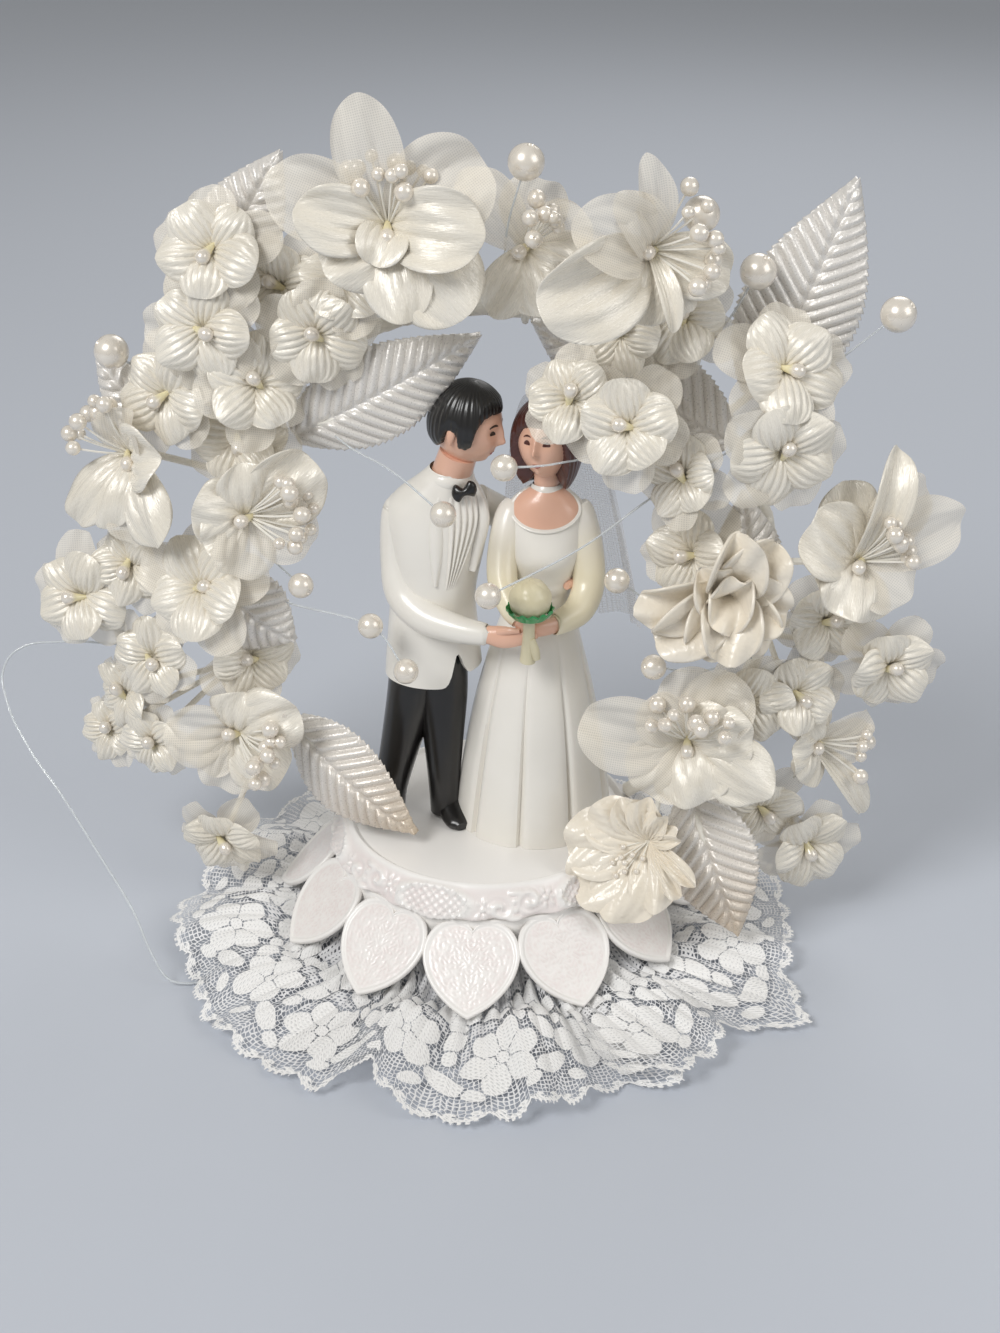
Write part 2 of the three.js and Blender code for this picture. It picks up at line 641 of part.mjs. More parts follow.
spray('blossom_right_hip', 108, [[107, -2, 21, 10.5, 5]]);

// The petals of a large flower as one lobed cup. Each has its angle about the way the flower faces, and its
// lift toward the front. A petal has two shoulders and a tip, and a notch parts it from the next.
function cup(petals, frame, grow) {
  const order = petals.toSorted(([one], [two]) => one - two);
  const rim = order.flatMap(([angle, length, width, lift], k) => {
    const [nextAngle, nextLength, , nextLift] = order[(k + 1) % order.length];
    const gap = (nextAngle - angle + 360) % 360;
    const breadth = Math.atan2(width / 2, PETAL_WIDEST * length) / degrees(1);
    const shoulder = Math.min(breadth, PETAL_CROWD * gap);
    const notch = PETAL_NOTCH * Math.min(length, nextLength);
    return [
      { angle: angle - shoulder, reach: PETAL_SHOULDER * length, lift },
      { angle, reach: length, lift },
      { angle: angle + shoulder, reach: PETAL_SHOULDER * length, lift },
      { angle: angle + gap / 2, reach: notch, lift: (lift + nextLift) / 2 },
    ];
  });
  const loop = (rise) => rim.map(({ angle, reach, lift }) => {
    const out = reach + grow;
    const level = out * Math.cos(degrees(lift));
    const p = point(level * Math.cos(degrees(angle)), level * Math.sin(degrees(angle)), 0);
    p.z = out * Math.sin(degrees(lift)) + rise;
    return p.applyMatrix4(frame);
  });
  const half = PETAL_THICKNESS / 2 + grow;
  const ends = [point(0, 0, -half), point(0, 0, half)].map((p) => p.applyMatrix4(frame));
  return rings([loop(-half), loop(half)], ends);
}

// A fan of stamens from a throat: pearl-tipped threads that spread round one direction.
function stamens([angle, lift, spread, count], frame, grow) {
  const threads = [];
  for (let k = 0; k < count; k += 1) {
    const share = count > 1 ? (2 * k) / (count - 1) - 1 : 0;
    const turn = degrees(angle + share * spread);
    const rise = degrees(lift + STAMEN_LIFT[k % 2]);
    const reach = STAMEN_LENGTH * (k % 2 ? 1 : STAMEN_SHORT);
    const tip = point(Math.cos(turn) * Math.cos(rise), Math.sin(turn) * Math.cos(rise), Math.sin(rise));
    tip.multiplyScalar(reach).applyMatrix4(frame);
    threads.push(bar([point(0, 0, 0).applyMatrix4(frame), tip], STAMEN_RADIUS + grow, 1, 3));
    threads.push(new THREE.OctahedronGeometry(STAMEN_HEAD + grow, 0).translate(tip.x, tip.y, tip.z));
  }
  return threads;
}

// A large flower: petals round a throat, each with its angle, length, width and lift, and a fan of stamens,
// with its angle, lift, spread and count, on a wrapped wire.
function orchid({ name, place, yaw, pitch, root, petals, fan, colour = IVORY }) {
  const frame = facing(place, yaw, pitch);
  add(name, colour, SATIN, (grow) => [
    stem(place, root, grow),
    twist(root, grow),
    cup(petals, frame, grow),
    ...(fan ? stamens(fan, frame, grow) : []),
  ]);
}

orchid({
  name: 'orchid_top_left',
  place: onHoop(-12, 26, 24),
  yaw: 5,
  pitch: 15,
  root: -12,
  petals: [
    [103, 29, 17, 20],
    [35, 25, 20, 10],
    [-5, 20, 18, 25],
    [-45, 20, 22, 15],
    [215, 15, 16, 20],
    [160, 21, 18, 10],
  ],
  fan: [90, 50, 60, 5],
});
orchid({
  name: 'orchid_top_right',
  place: onHoop(22, 27, 22),
  yaw: 25,
  pitch: 10,
  root: 20,
  petals: [
    [205, 26, 20, 10],
    [155, 25, 20, 15],
    [115, 19, 16, 10],
    [60, 16, 16, 20],
    [10, 17, 16, 20],
    [-62, 18, 13, 25],
  ],
  fan: [5, 45, 60, 4],
});
orchid({
  name: 'orchid_left',
  place: onHoop(-67, 21, 14),
  yaw: -50,
  pitch: 10,
  root: -66,
  petals: [
    [80, 15, 14, 35],
    [20, 13, 13, 20],
    [265, 17, 15, 20],
    [210, 22, 16, 25],
    [150, 20, 14, 25],
  ],
  fan: [150, 45, 50, 4],
});
orchid({
  name: 'orchid_inner_left',
  place: onHoop(-66, -8, 23),
  yaw: 25,
  pitch: 5,
  root: -68,
  petals: [
    [32, 20, 15, 15],
    [-30, 19, 16, 15],
    [88, 14, 14, 15],
    [165, 14, 14, 10],
    [255, 14, 14, 15],
  ],
  fan: [5, 40, 50, 4],
});
orchid({
  name: 'orchid_lower_left',
  place: onHoop(-118, 0, 24),
  yaw: 8,
  pitch: 5,
  root: -116,
  petals: [
    [25, 20, 16, 20],
    [75, 15, 15, 20],
    [172, 16, 16, 15],
    [240, 15, 16, 15],
    [-50, 16, 16, 20],
  ],
  fan: [-15, 45, 50, 4],
});
orchid({
  name: 'orchid_right',
  place: onHoop(80, 19, 16),
  yaw: 25,
  pitch: 20,
  root: 82,
  petals: [
    [73, 23, 16, 10],
    [118, 17, 16, 10],
    [27, 29, 17, 15],
    [250, 14, 19, 20],
    [-50, 14, 15, 20],
  ],
  fan: [35, 40, 45, 4],
});
orchid({
  name: 'orchid_lower_right',
  place: onHoop(119, -12, 28),
  yaw: 0,
  pitch: 15,
  root: 118,
  petals: [
    [162, 17, 18, 15],
    [228, 16, 16, 15],
    [-5, 16, 18, 15],
    [45, 15, 14, 20],
    [-80, 14, 16, 15],
  ],
  fan: [90, 45, 65, 4],
});
orchid({
  name: 'orchid_far_right',
  place: onHoop(113, 18, 14),
  yaw: 45,
  pitch: 0,
  root: 112,
  petals: [
    [38, 16, 13, 35],
    [0, 14, 12, 30],
    [180, 12, 14, 15],
    [-65, 17, 14, 20],
  ],
  fan: [0, 50, 45, 3],
});
orchid({
  name: 'satin_rose',
  place: onHoop(79, -11, 25),
  yaw: 5,
  pitch: 5,
  root: 86,
  colour: CREAM,
  petals: [
    [0, 15, 13, 25],
    [60, 13, 12, 30],
    [125, 13, 12, 30],
    [195, 16, 12, 20],
    [245, 14, 11, 25],
    [290, 17, 12, 15],
  ],
});
orchid({
  name: 'velvet_blossom',
  place: onHoop(147, -2, 34),
  yaw: -10,
  pitch: 25,
  root: 140,
  colour: STRAW,
  petals: many(8, (k) => [45 * k - 60, 14.5, 10, 15]),
});
orchid({
  name: 'orchid_top_middle',
  place: onHoop(6, 17, 10),
  yaw: 0,
  pitch: 20,
  root: 7,
  petals: [
    [20, 15, 14, 15],
    [80, 15, 14, 5],
    [140, 21, 16, 10],
    [205, 17, 15, 15],
    [270, 16, 15, 15],
    [325, 16, 15, 15],
  ],
  fan: [75, 45, 45, 4],
});

// A satin leaf with a raised midrib, from a place near the hoop to its tip, wired at its foot.
function leaf(name, foot, tip, width, root) {
  const along = tip.clone().sub(foot).normalize();
  const across = new THREE.Vector3().crossVectors(along, point(0, -1, 0)).normalize();
  const front = new THREE.Vector3().crossVectors(across, along);
  add(name, IVORY, SATIN, (grow) => {
    const surface = (u, v) => {
      const half = (width / 2) * Math.sin(Math.PI * lerp(...LEAF_SPAN, u) ** LEAF_BELLY) + grow;
      const side = 2 * v - 1;
      const p = foot.clone().lerp(tip, u).addScaledVector(across, half * side);
      return p.addScaledVector(front, LEAF_BOW * (Math.sin(Math.PI * u) - LEAF_FOLD * side * side));
    };
    const wire = bar([foot.clone().lerp(tip, LEAF_WIRED), onHoop(root)], STEM_RADIUS + grow, 1, 3);
    return [plate(surface, 4, 2, PETAL_THICKNESS + 2 * grow), wire];
  });
}

leaf('leaf_inner_left', onHoop(-46, -5, 15), onHoop(0, 0, 13), 21, -48);
leaf('leaf_right_top', onHoop(51, 11, 6), onHoop(38.7, 60, 6), 24, 51);
leaf('leaf_top_left', onHoop(-39.5, 30, 6), onHoop(-24, 45, 6), 14, -40);
leaf('leaf_right_inner', onHoop(55, 0, 6), onHoop(8.5, 0, 9), 20, 56);
leaf('leaf_left_middle', onHoop(-92, -2, 14), onHoop(-104, -20, 16), 15, -94);
leaf('leaf_lower_left', onHoop(-122, -5, 16), onHoop(-162, -2, 24), 18, -124);
leaf('leaf_lower_right', onHoop(131, -1, 26), onHoop(140.6, 32, 36), 20, 130);
leaf('leaf_right_middle', onHoop(88, -5, 8), onHoop(64, -2, 13), 16, 90);
leaf('leaf_left_upper', onHoop(-64, 18, 4), onHoop(-59, 40, 4), 14, -62);

// A loose strand of clear nylon, from among the blossoms on the left down to the edge of the lace.
const strandRoute = [
  point(-79.5, -6, 72.5),
  point(-84, -3, 72),
  point(-93, -1, 71.5),
  point(-106, -2, 72),
  point(-116, -4, 70.5),
  point(-119.6, -6, 66),
  point(-118.5, -10, 60),
  point(-111, -18, 50),
  point(-102, -25, 42),
  point(-92, -32, 30),
  point(-83, -38, 18),
  point(-78, -42, 8),
  point(-74, -43.5, 2.2),
  point(-70, -43, 0.9),
  point(-66, -41.5, 0.7),
];
add('nylon_strand', CLEAR, GLOSS, (grow) => [bar(strandRoute, STRAND_RADIUS + grow, 22, 8)]);

export default topper;
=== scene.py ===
import bmesh
import bpy
import numpy as np
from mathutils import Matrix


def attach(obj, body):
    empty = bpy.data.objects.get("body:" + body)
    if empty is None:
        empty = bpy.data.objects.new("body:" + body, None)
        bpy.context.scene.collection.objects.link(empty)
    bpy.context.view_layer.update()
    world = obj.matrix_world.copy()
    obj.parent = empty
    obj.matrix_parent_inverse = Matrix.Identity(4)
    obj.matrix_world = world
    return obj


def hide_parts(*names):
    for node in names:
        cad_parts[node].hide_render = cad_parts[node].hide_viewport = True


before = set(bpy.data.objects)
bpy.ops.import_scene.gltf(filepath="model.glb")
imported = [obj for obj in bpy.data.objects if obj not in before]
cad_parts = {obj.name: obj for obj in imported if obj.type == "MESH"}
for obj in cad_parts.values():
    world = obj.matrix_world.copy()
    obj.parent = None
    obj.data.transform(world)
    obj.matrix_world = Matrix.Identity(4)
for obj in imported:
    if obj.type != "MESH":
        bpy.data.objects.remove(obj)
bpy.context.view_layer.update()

# Camera: it looks down on the topper from the front, a little to the right of its middle,
# from the distance and the angle that the photograph was taken at.
camera = bpy.data.objects.new("camera", bpy.data.cameras.new("camera"))
camera.location = 0.0392, -0.4132, 0.284
camera.rotation_euler = np.radians((62.6, 0, 5))
camera.data.lens = 51.64
camera.data.clip_start = 0.01
bpy.context.collection.objects.link(camera)
bpy.context.scene.camera = camera
bpy.context.scene.view_settings.view_transform = "Standard"


# Loose strand: clear nylon line, extruded and springy. One end is twisted in with the wires
# of the blossoms at the left, the other end is caught under the edge of the lace.
MM = 0.001
STRAND_THICKNESS, DIE_LINE = 0.6, 4
STRAND_ROUTE = [
    (-79.5, -6, 72.5), (-84, -3, 72), (-93, -1, 71.5), (-106, -2, 72), (-116, -4, 70.5),
    (-119.6, -6, 66), (-118.5, -10, 60), (-111, -18, 50), (-102, -25, 42), (-92, -32, 30),
    (-83, -38, 18), (-78, -42, 8), (-74, -43.5, 2.2), (-70, -43, 0.9), (-66, -41.5, 0.7),
]


def linear(code):
    """An sRGB hex colour as linear red, green, blue and an alpha of 1."""
    parts = np.array([int(code[k:k + 2], 16) for k in (1, 3, 5)]) / 255
    return (*np.where(parts > 0.04045, ((parts + 0.055) / 1.055) ** 2.4, parts / 12.92), 1)


def blank(name):
    """A new material that holds only its output."""
    material = bpy.data.materials.new(name)
    material.use_nodes = True
    material.node_tree.nodes.remove(material.node_tree.nodes["Principled BSDF"])
    return material


def add(material, kind, inputs, out=None, **settings):
    """Adds a shader node and returns an output of it. An input takes a value, a hex colour or a link."""
    tree = material.node_tree
    node = tree.nodes.new("ShaderNode" + kind)
    for name, value in settings.items():
        setattr(node, name, value)
    sockets = {socket.identifier: socket for socket in node.inputs}
    for name, value in inputs.items():
        if isinstance(value, bpy.types.NodeSocket):
            tree.links.new(value, sockets[name])
        else:
            sockets[name].default_value = linear(value) if isinstance(value, str) else value
    return node.outputs[out] if out else next(socket for socket in node.outputs if socket.enabled)


def shade(material, inputs):
    """Gives the material its shader, with plain values or links on the shader's own sockets."""
    output = material.node_tree.nodes["Material Output"]
    material.node_tree.links.new(add(material, "BsdfPrincipled", inputs), output.inputs["Surface"])
    return material


# Nylon is clear and smooth. Faint die lines break up its glints.
nylon = blank("clear_nylon_line")
place = add(nylon, "TexCoord", {}, out="Object")
lines = add(nylon, "TexNoise", {"Vector": place, "Scale": 1 / (DIE_LINE * MM)})
shade(nylon, {
    "Base Color": "#f2f6f8", "Transmission Weight": 0.5, "IOR": 1.53,
    "Roughness": add(nylon, "MapRange", {"Value": lines, "To Min": 0.04, "To Max": 0.16}),
})

line = bpy.data.curves.new("strand", "CURVE")
line.dimensions = "3D"
line.bevel_depth = STRAND_THICKNESS / 2 * MM
line.bevel_resolution = 3
line.use_fill_caps = True
spans = line.splines.new("BEZIER")
spans.bezier_points.add(len(STRAND_ROUTE) - 1)
for knot, point in zip(spans.bezier_points, STRAND_ROUTE):
    knot.co = np.array(point) * MM
    knot.handle_left_type = knot.handle_right_type = "AUTO"
line.materials.append(nylon)
strand = bpy.data.objects.new("strand", line)
bpy.context.collection.objects.link(strand)
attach(strand, "topper")
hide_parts("nylon_strand")


# Hoop: a ring of stiff wire, open below, wound with white florist's tape in a close spiral.
# Its two ends are let into notches in the border of the base.
HOOP_RADIUS, HOOP_HEIGHT, HOOP_DEPTH = 68, 87.98, 10
HOOP_THICKNESS, HOOP_REACH = 4, 150.14
TAPE_PITCH, TAPE_STEP, CREASE = 5, 0.3, 0.8
SAME_POINT, SHARP_EDGE = 1e-6, 50


def grid(columns, rows):
    """Two arrays over a grid: the first runs from 0 to 1 along its columns, the second along its rows."""
    return np.meshgrid(np.linspace(0, 1, columns), np.linspace(0, 1, rows))


def points(x, y, z):
    """Points from their three coordinates, each a number or an array."""
    return np.stack(np.broadcast_arrays(x, y, z), -1).astype(float)


def piece(name, patches, finishes, node=None, body="topper"):
    """A mesh from patches, which rides on a body and stands for a CAD node. A patch is a grid of points
    and, as far as it needs them, the number of its finish, its map in millimetres and a mark for each point.
    Points that fall together are merged, which closes poles and seams, and faces are turned to point out."""
    corners, maps, marks, faces, worn = [], [], [], [], []
    start = 0
    for patch in patches:
        spots, number, chart, mark = *patch, *(0, 0, 0.0)[len(patch) - 1:]
        rows, columns = spots.shape[:2]
        index = start + np.arange(rows * columns).reshape(rows, columns)
        quads = np.stack([index[:-1, :-1], index[:-1, 1:], index[1:, 1:], index[1:, :-1]], -1)
        corners.append(spots.reshape(-1, 3) * MM)
        maps.append(np.broadcast_to(chart, (rows, columns, 2)).reshape(-1, 2))
        marks.append(np.broadcast_to(mark, (rows, columns)).ravel())
        faces.append(quads.reshape(-1, 4))
        worn.append(np.full(len(faces[-1]), number))
        start += rows * columns
    faces = np.concatenate(faces)
    mesh = bpy.data.meshes.new(name)
    mesh.vertices.add(start)
    mesh.vertices.foreach_set("co", np.concatenate(corners).ravel())
    mesh.loops.add(faces.size)
    mesh.loops.foreach_set("vertex_index", faces.ravel())
    mesh.polygons.add(len(faces))
    mesh.polygons.foreach_set("loop_start", np.arange(0, faces.size, 4))
    mesh.polygons.foreach_set("material_index", np.concatenate(worn))
    mesh.uv_layers.new(name="map").data.foreach_set("uv", np.concatenate(maps)[faces.ravel()].ravel())
    mesh.attributes.new("mark", "FLOAT", "POINT").data.foreach_set("value", np.concatenate(marks))
    mesh.update()
    shell = bmesh.new()
    shell.from_mesh(mesh)
    bmesh.ops.remove_doubles(shell, verts=shell.verts, dist=SAME_POINT)
    bmesh.ops.dissolve_degenerate(shell, edges=shell.edges, dist=SAME_POINT / 10)
    bmesh.ops.recalc_face_normals(shell, faces=shell.faces)
    shell.to_mesh(mesh)
    shell.free()
    mesh.polygons.foreach_set("use_smooth", np.ones(len(mesh.polygons), bool))
    mesh.set_sharp_from_angle(angle=np.radians(SHARP_EDGE))
    for material in finishes:
        mesh.materials.append(material)
    made = bpy.data.objects.new(name, mesh)
    bpy.context.collection.objects.link(made)
    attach(made, body)
    if node:
        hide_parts(node)
    return made


def on_hoop(clock, out=0, fore=0):
    """The point at a clock angle from the hoop's top, out mm outside its middle and fore mm before it."""
    angle, reach = np.radians(clock), HOOP_RADIUS + np.asarray(out)
    return points(reach * np.sin(angle), HOOP_DEPTH - np.asarray(fore), HOOP_HEIGHT + reach * np.cos(angle))


def clouded(name, cell, dark, light, detail=2):
    """A new material whose tint drifts between two colours in clouds of a size given in millimetres.
    Returns it with its place, cloud and tint."""
    material = blank(name)
    place = add(material, "TexCoord", {}, out="Object")
    cloud = add(material, "TexNoise", {"Vector": place, "Scale": 1 / (cell * MM), "Detail": detail})
    tint = add(material, "Mix", {"Factor_Float": cloud, "A_Color": dark, "B_Color": light}, data_type="RGBA")
    return material, place, cloud, tint


# Florist's tape is waxed crepe paper: matt, slightly creased across the winding.
tape, place, crepe, tint = clouded("white_crepe_tape", CREASE, "#e9e4d8", "#f7f4ec", 3)
shade(tape, {
    "Base Color": tint, "Roughness": 0.75, "Sheen Weight": 0.2,
    "Normal": add(tape, "Bump", {"Height": crepe, "Strength": 0.5, "Distance": 0.2 * MM}),
})

along, around = grid(361, 17)
winding = HOOP_RADIUS * np.radians(2 * HOOP_REACH) * along / TAPE_PITCH + around
thick = HOOP_THICKNESS / 2 - TAPE_STEP * (winding % 1)
thick[:, [0, -1]] = 0
turn = 2 * np.pi * around
ring = on_hoop(HOOP_REACH * (2 * along - 1), thick * np.cos(turn), thick * np.sin(turn))
piece("hoop", [(ring,)], [tape], "arch_hoop")


# Base: a bell of moulded polystyrene with a flat platform, a plain wall and a raised border of scrolls
# and trellis ovals, and a flat plate that closes it below. Both are glossy, with a faint pink pearl in them.
PLATFORM_RADIUS, PLATFORM_HEIGHT, PLATFORM_THICKNESS, PLATFORM_EDGE = 33.6, 28, 2.2, 32.6
WALL_RADIUS, WALL_FOOT, WALL_TOP, ROUNDING = 35.6, 1.9, 20.6, 0.3
BORDER_PROFILE = [
    (35.7, 20.9), (37.6, 20.85), (39.1, 20.85), (39.7, 21.7), (39.2, 23.2), (38.2, 25.2), (37, 27.1),
    (35.9, 28.6), (34.9, 29.15), (34.1, 28.8), (33.3, 28),
]
BORDER_REPEATS, BORDER_RELIEF, BORDER_MIDDLE, BORDER_HALF = 6, 0.9, 7.6, 4.6
OVAL_WIDE, OVAL_HIGH, OVAL_BEAD, TRELLIS_PITCH = 8.4, 4.2, 1.5, 2.1
PEARL_CLOUD, MOULD_GRAIN, ROUND_STEPS = 9, 0.5, 721


def spline(keys, steps):
    """Points on a Catmull-Rom curve: a span blends its two keys and the slopes toward their neighbours."""
    keys = np.asarray(keys, float)
    wide = np.vstack([2 * keys[0] - keys[1], keys, 2 * keys[-1] - keys[-2]])
    way = np.linspace(0, len(keys) - 1, steps)
    span = np.minimum(way.astype(int), len(keys) - 2)
    share = (way - span)[:, None]
    a, b, c, d = (wide[span + k] for k in range(4))
    cubic = (2 * a - 5 * b + 4 * c - d) * share ** 2 + (3 * b - a - 3 * c + d) * share ** 3
    return b + 0.5 * ((c - a) * share + cubic)


def lathe(profile, columns, place=(0, 0, 0), axes=((0, -1, 0), (1, 0, 0), (0, 0, 1))):
    """A profile of radius and height carried round the third of its axes, which is upright unless given."""
    profile = np.asarray(profile, float)
    turn = np.linspace(0, 2 * np.pi, columns)
    radius, height = profile[:, :1], profile[:, 1:]
    return place + points(radius * np.cos(turn), radius * np.sin(turn), height) @ axes


def scroll(x, y, pitch, reach):
    """Height of a scroll: a ridge that winds out one pitch a turn from its middle and fades at its reach."""
    out, angle = np.hypot(x, y), np.arctan2(y, x)
    ridge = 0.5 + 0.5 * np.cos(2 * np.pi * out / pitch - angle)
    return ridge * np.clip(1 - (out / reach) ** 4, 0, 1)


def dome(x, y, wide, high):
    """Height of an oval dome: one in the middle, falling as a parabola to nothing at its rim."""
    return np.clip(1 - (x / wide) ** 2 - (y / high) ** 2, 0, 1)


def rosette(x, y, petals, reach):
    """Height of a pressed flower: petals that swell and sink with the angle, round a bead."""
    out, angle = np.hypot(x, y), np.arctan2(y, x)
    leaf = (0.55 + 0.45 * np.cos(petals * angle)) * np.clip(1 - (out / reach) ** 2, 0, 1)
    return np.maximum(leaf * np.clip(4 * out / reach - 0.8, 0, 1), dome(x, y, 0.28 * reach, 0.28 * reach))


def trellis(x, y, pitch):
    """Height of crossed bars: the larger of two sets of ridges that run at right angles."""
    bars = [np.abs(np.cos(np.pi * (x + sign * y) / pitch)) ** 5 for sign in (1, -1)]
    return np.maximum(*bars)


def oval_rim(x, y, wide, high, thick):
    """Height of a bead that runs round an oval, thick mm across."""
    away = (np.hypot(x / wide, y / high) - 1) * high
    return np.exp(-((2 * away / thick) ** 2))


# Polystyrene is hard and glossy with a faint pink pearl. Painted shade darkens it to a dusky pink where the
# surface dips.
polystyrene = blank("white_pearl_polystyrene")
place = add(polystyrene, "TexCoord", {}, out="Object")
# The mark is painted shade: it is high in the recesses, where the tint darkens to a dusky pink.
dip = add(polystyrene, "Attribute", {}, out="Fac", attribute_name="mark")
cloud = add(polystyrene, "TexNoise", {"Vector": place, "Scale": 1 / (PEARL_CLOUD * MM), "Detail": 2})
pink_recess_shade = add(polystyrene, "Math", {"Value": dip, "Value_001": cloud}, operation="MULTIPLY")
grain = add(polystyrene, "TexNoise", {"Vector": place, "Scale": 1 / (MOULD_GRAIN * MM), "Detail": 2})
shade(polystyrene, {
    "Base Color": add(polystyrene, "Mix", {
        "Factor_Float": pink_recess_shade, "A_Color": "#f3f0ec", "B_Color": "#e6d6d3",
    }, data_type="RGBA"),
    "IOR": 1.55, "Coat Weight": 0.25, "Coat Roughness": 0.12,
    "Roughness": add(polystyrene, "MapRange", {"Value": cloud, "To Min": 0.24, "To Max": 0.4}),
    "Normal": add(polystyrene, "Bump", {"Height": grain, "Strength": 0.12, "Distance": 0.05 * MM}),
})

border = spline(BORDER_PROFILE, 44)
arc = np.linspace(0, 2 * np.pi, ROUND_STEPS)
climb = np.concatenate([[0], np.cumsum(np.linalg.norm(np.diff(border, axis=0), axis=1))])[:, None]
repeat = 2 * np.pi * WALL_RADIUS / BORDER_REPEATS
x = (arc * WALL_RADIUS + repeat / 2) % repeat - repeat / 2
y = climb - BORDER_MIDDLE
band = np.clip(1.1 - (y / BORDER_HALF) ** 4, 0, 1)
left, right = x + repeat / 4, x - repeat / 4
relief = trellis(left, y, TRELLIS_PITCH) * (np.hypot(left / OVAL_WIDE, y / OVAL_HIGH) < 1) * 0.6
relief += oval_rim(left, y, OVAL_WIDE, OVAL_HIGH, OVAL_BEAD)
for side in (1, -1):
    buds = dome(right - side * 0.6, y - side * 3, 2.4, 1.1) + dome(right, y + side, 0.9, 0.9)
    curl = scroll(side * right + 3.4, side * y + 0.6, 3, 3.6)
    flower = rosette(side * right - 7.2, y - side * 0.8, 7, 3.2)
    relief = np.max([relief, curl, flower, buds], axis=0)
relief *= band
slope = np.gradient(border, axis=0)
normal = np.stack([slope[:, 1], -slope[:, 0]], -1) / np.linalg.norm(slope, axis=1)[:, None]
lobes = 0.6 * np.cos(8 * np.pi * x / repeat) * np.exp(-(((climb - 4) / 1.8) ** 2))
reach = border[:, :1] + lobes + normal[:, :1] * BORDER_RELIEF * (relief - 0.4)
height = border[:, 1:] + normal[:, 1:] * BORDER_RELIEF * (relief - 0.4)
ring = points(reach * np.sin(arc), -reach * np.cos(arc), height)
ceiling = PLATFORM_HEIGHT - PLATFORM_THICKNESS
inside = lathe([
    (0, ceiling), (PLATFORM_EDGE, ceiling), (PLATFORM_RADIUS, ceiling - 1),
    (PLATFORM_RADIUS, WALL_FOOT + ROUNDING), (PLATFORM_RADIUS + ROUNDING, WALL_FOOT),
    (WALL_RADIUS - ROUNDING, WALL_FOOT), (WALL_RADIUS, WALL_FOOT + ROUNDING), (WALL_RADIUS, WALL_TOP),
], ROUND_STEPS)
top = lathe([(r, PLATFORM_HEIGHT) for r in (PLATFORM_EDGE, 24, 12, 0)], ROUND_STEPS)
shell = np.concatenate([inside, ring, top])
# Painted shade for the recesses: high where the border's relief sinks, nothing on the wall and platform.
sunk = np.concatenate([np.zeros(inside.shape[:2]), band * (1 - relief), np.zeros(top.shape[:2])])
piece("pedestal", [(shell, 0, 0, sunk)], [polystyrene], "base_pedestal")
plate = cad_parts["bottom_plate"]
plate.data.materials.clear()
plate.data.materials.append(polystyrene)


# Skirt of hearts: a collar pushed up round the base, moulded in one with its hearts.
# Each heart has a raised plain rim round a field of pressed flowers and scrolls.
HEART_COUNT, HEART_WIDTH, HEART_LENGTH, HEART_RELIEF = 12, 23.35, 24.6, 0.17
HEART_SLOPE, HEART_OUT, HEART_HEIGHT = np.radians(44.03), 45.94, 12.35
HEART_SECTION = np.array([
    *[(share, -0.28) for share in np.linspace(0, 0.87, 40)],
    (0.89, -0.2), (0.91, -0.05), (0.93, 0.03), (0.95, 0.04), (0.97, 0), (0.985, -0.12), (0.995, -0.3),
    (1, -0.5), (1, -0.9), (0.995, -1.2), (0.98, -1.36), (0.95, -1.4), (0.5, -1.4), (0, -1.4),
])
HEART_SCROLLS = [(6.4, 4.6, 2.4), (5.6, -1.6, 2.2), (2.6, -6, 2)]
COLLAR_PROFILE = [
    (35.9, 12.7), (38.5, 12.7), (38.7, 12.9), (38.7, 20.4), (38.4, 20.7), (35.9, 20.7), (35.9, 12.7),
]


def heart(way):
    """The outline of a heart, tip down, as its way round goes from 0 to 1: four cubic spans from its notch
    on, the last two the mirror of the first."""
    half = np.array([
        [(0, 0.72), (0.1, 1), (0.88, 1.1), (1, 0.3)],
        [(1, 0.3), (1, -0.3), (0.52, -0.76), (0, -1)],
    ])
    spans = np.concatenate([half, half[::-1, ::-1] * (-1, 1)]) * (HEART_WIDTH / 2, HEART_LENGTH / 2)
    span = np.minimum((4 * way).astype(int), 3)
    s = (4 * way - span)[..., None]
    a, b, c, d = (spans[span, k] for k in range(4))
    return a * (1 - s) ** 3 + 3 * b * s * (1 - s) ** 2 + 3 * c * s ** 2 * (1 - s) + d * s ** 3


def tendrils(x, y, pitch):
    """Height of fine winding stems: the crests where two crossed waves, each bent by the other, meet."""
    a, b = 2 * np.pi * x / pitch, 2 * np.pi * y / pitch
    return 1 - np.abs(np.sin(a + 1.6 * np.sin(0.7 * b)) + np.sin(b + 1.6 * np.sin(0.8 * a + 1))) / 2


share, rise = HEART_SECTION[:, :1], HEART_SECTION[:, 1:]
flat = share[..., None] * heart(np.linspace(0, 1, 145))
field = np.clip((0.88 - share) / 0.05, 0, 1) * (np.arange(len(share)) < 42)[:, None]
x, y = flat[..., 0], flat[..., 1]
relief = np.maximum(rosette(x, y - 1.5, 6, 3.4), 0.75 * tendrils(np.abs(x), y, 2.1))
for east, north, size in HEART_SCROLLS:
    relief = np.maximum(relief, 0.9 * scroll(np.abs(x) - east, y - north, 1.6, size))
rise = rise + HEART_RELIEF * relief * field
away = HEART_OUT - y * np.cos(HEART_SLOPE) + rise * np.sin(HEART_SLOPE)
level = HEART_HEIGHT + y * np.sin(HEART_SLOPE) + rise * np.cos(HEART_SLOPE)
# Each heart's mark is painted shade: high in the field where the relief sinks, nothing on the plain rim.
hearts = []
for turn in 2 * np.pi * np.arange(HEART_COUNT) / HEART_COUNT:
    spots = points(x * np.cos(turn) + away * np.sin(turn), x * np.sin(turn) - away * np.cos(turn), level)
    hearts.append((spots, 0, 0, field * (1 - relief)))
piece("hearts", [*hearts, (lathe(COLLAR_PROFILE, 97),)], [polystyrene], "heart_collar")


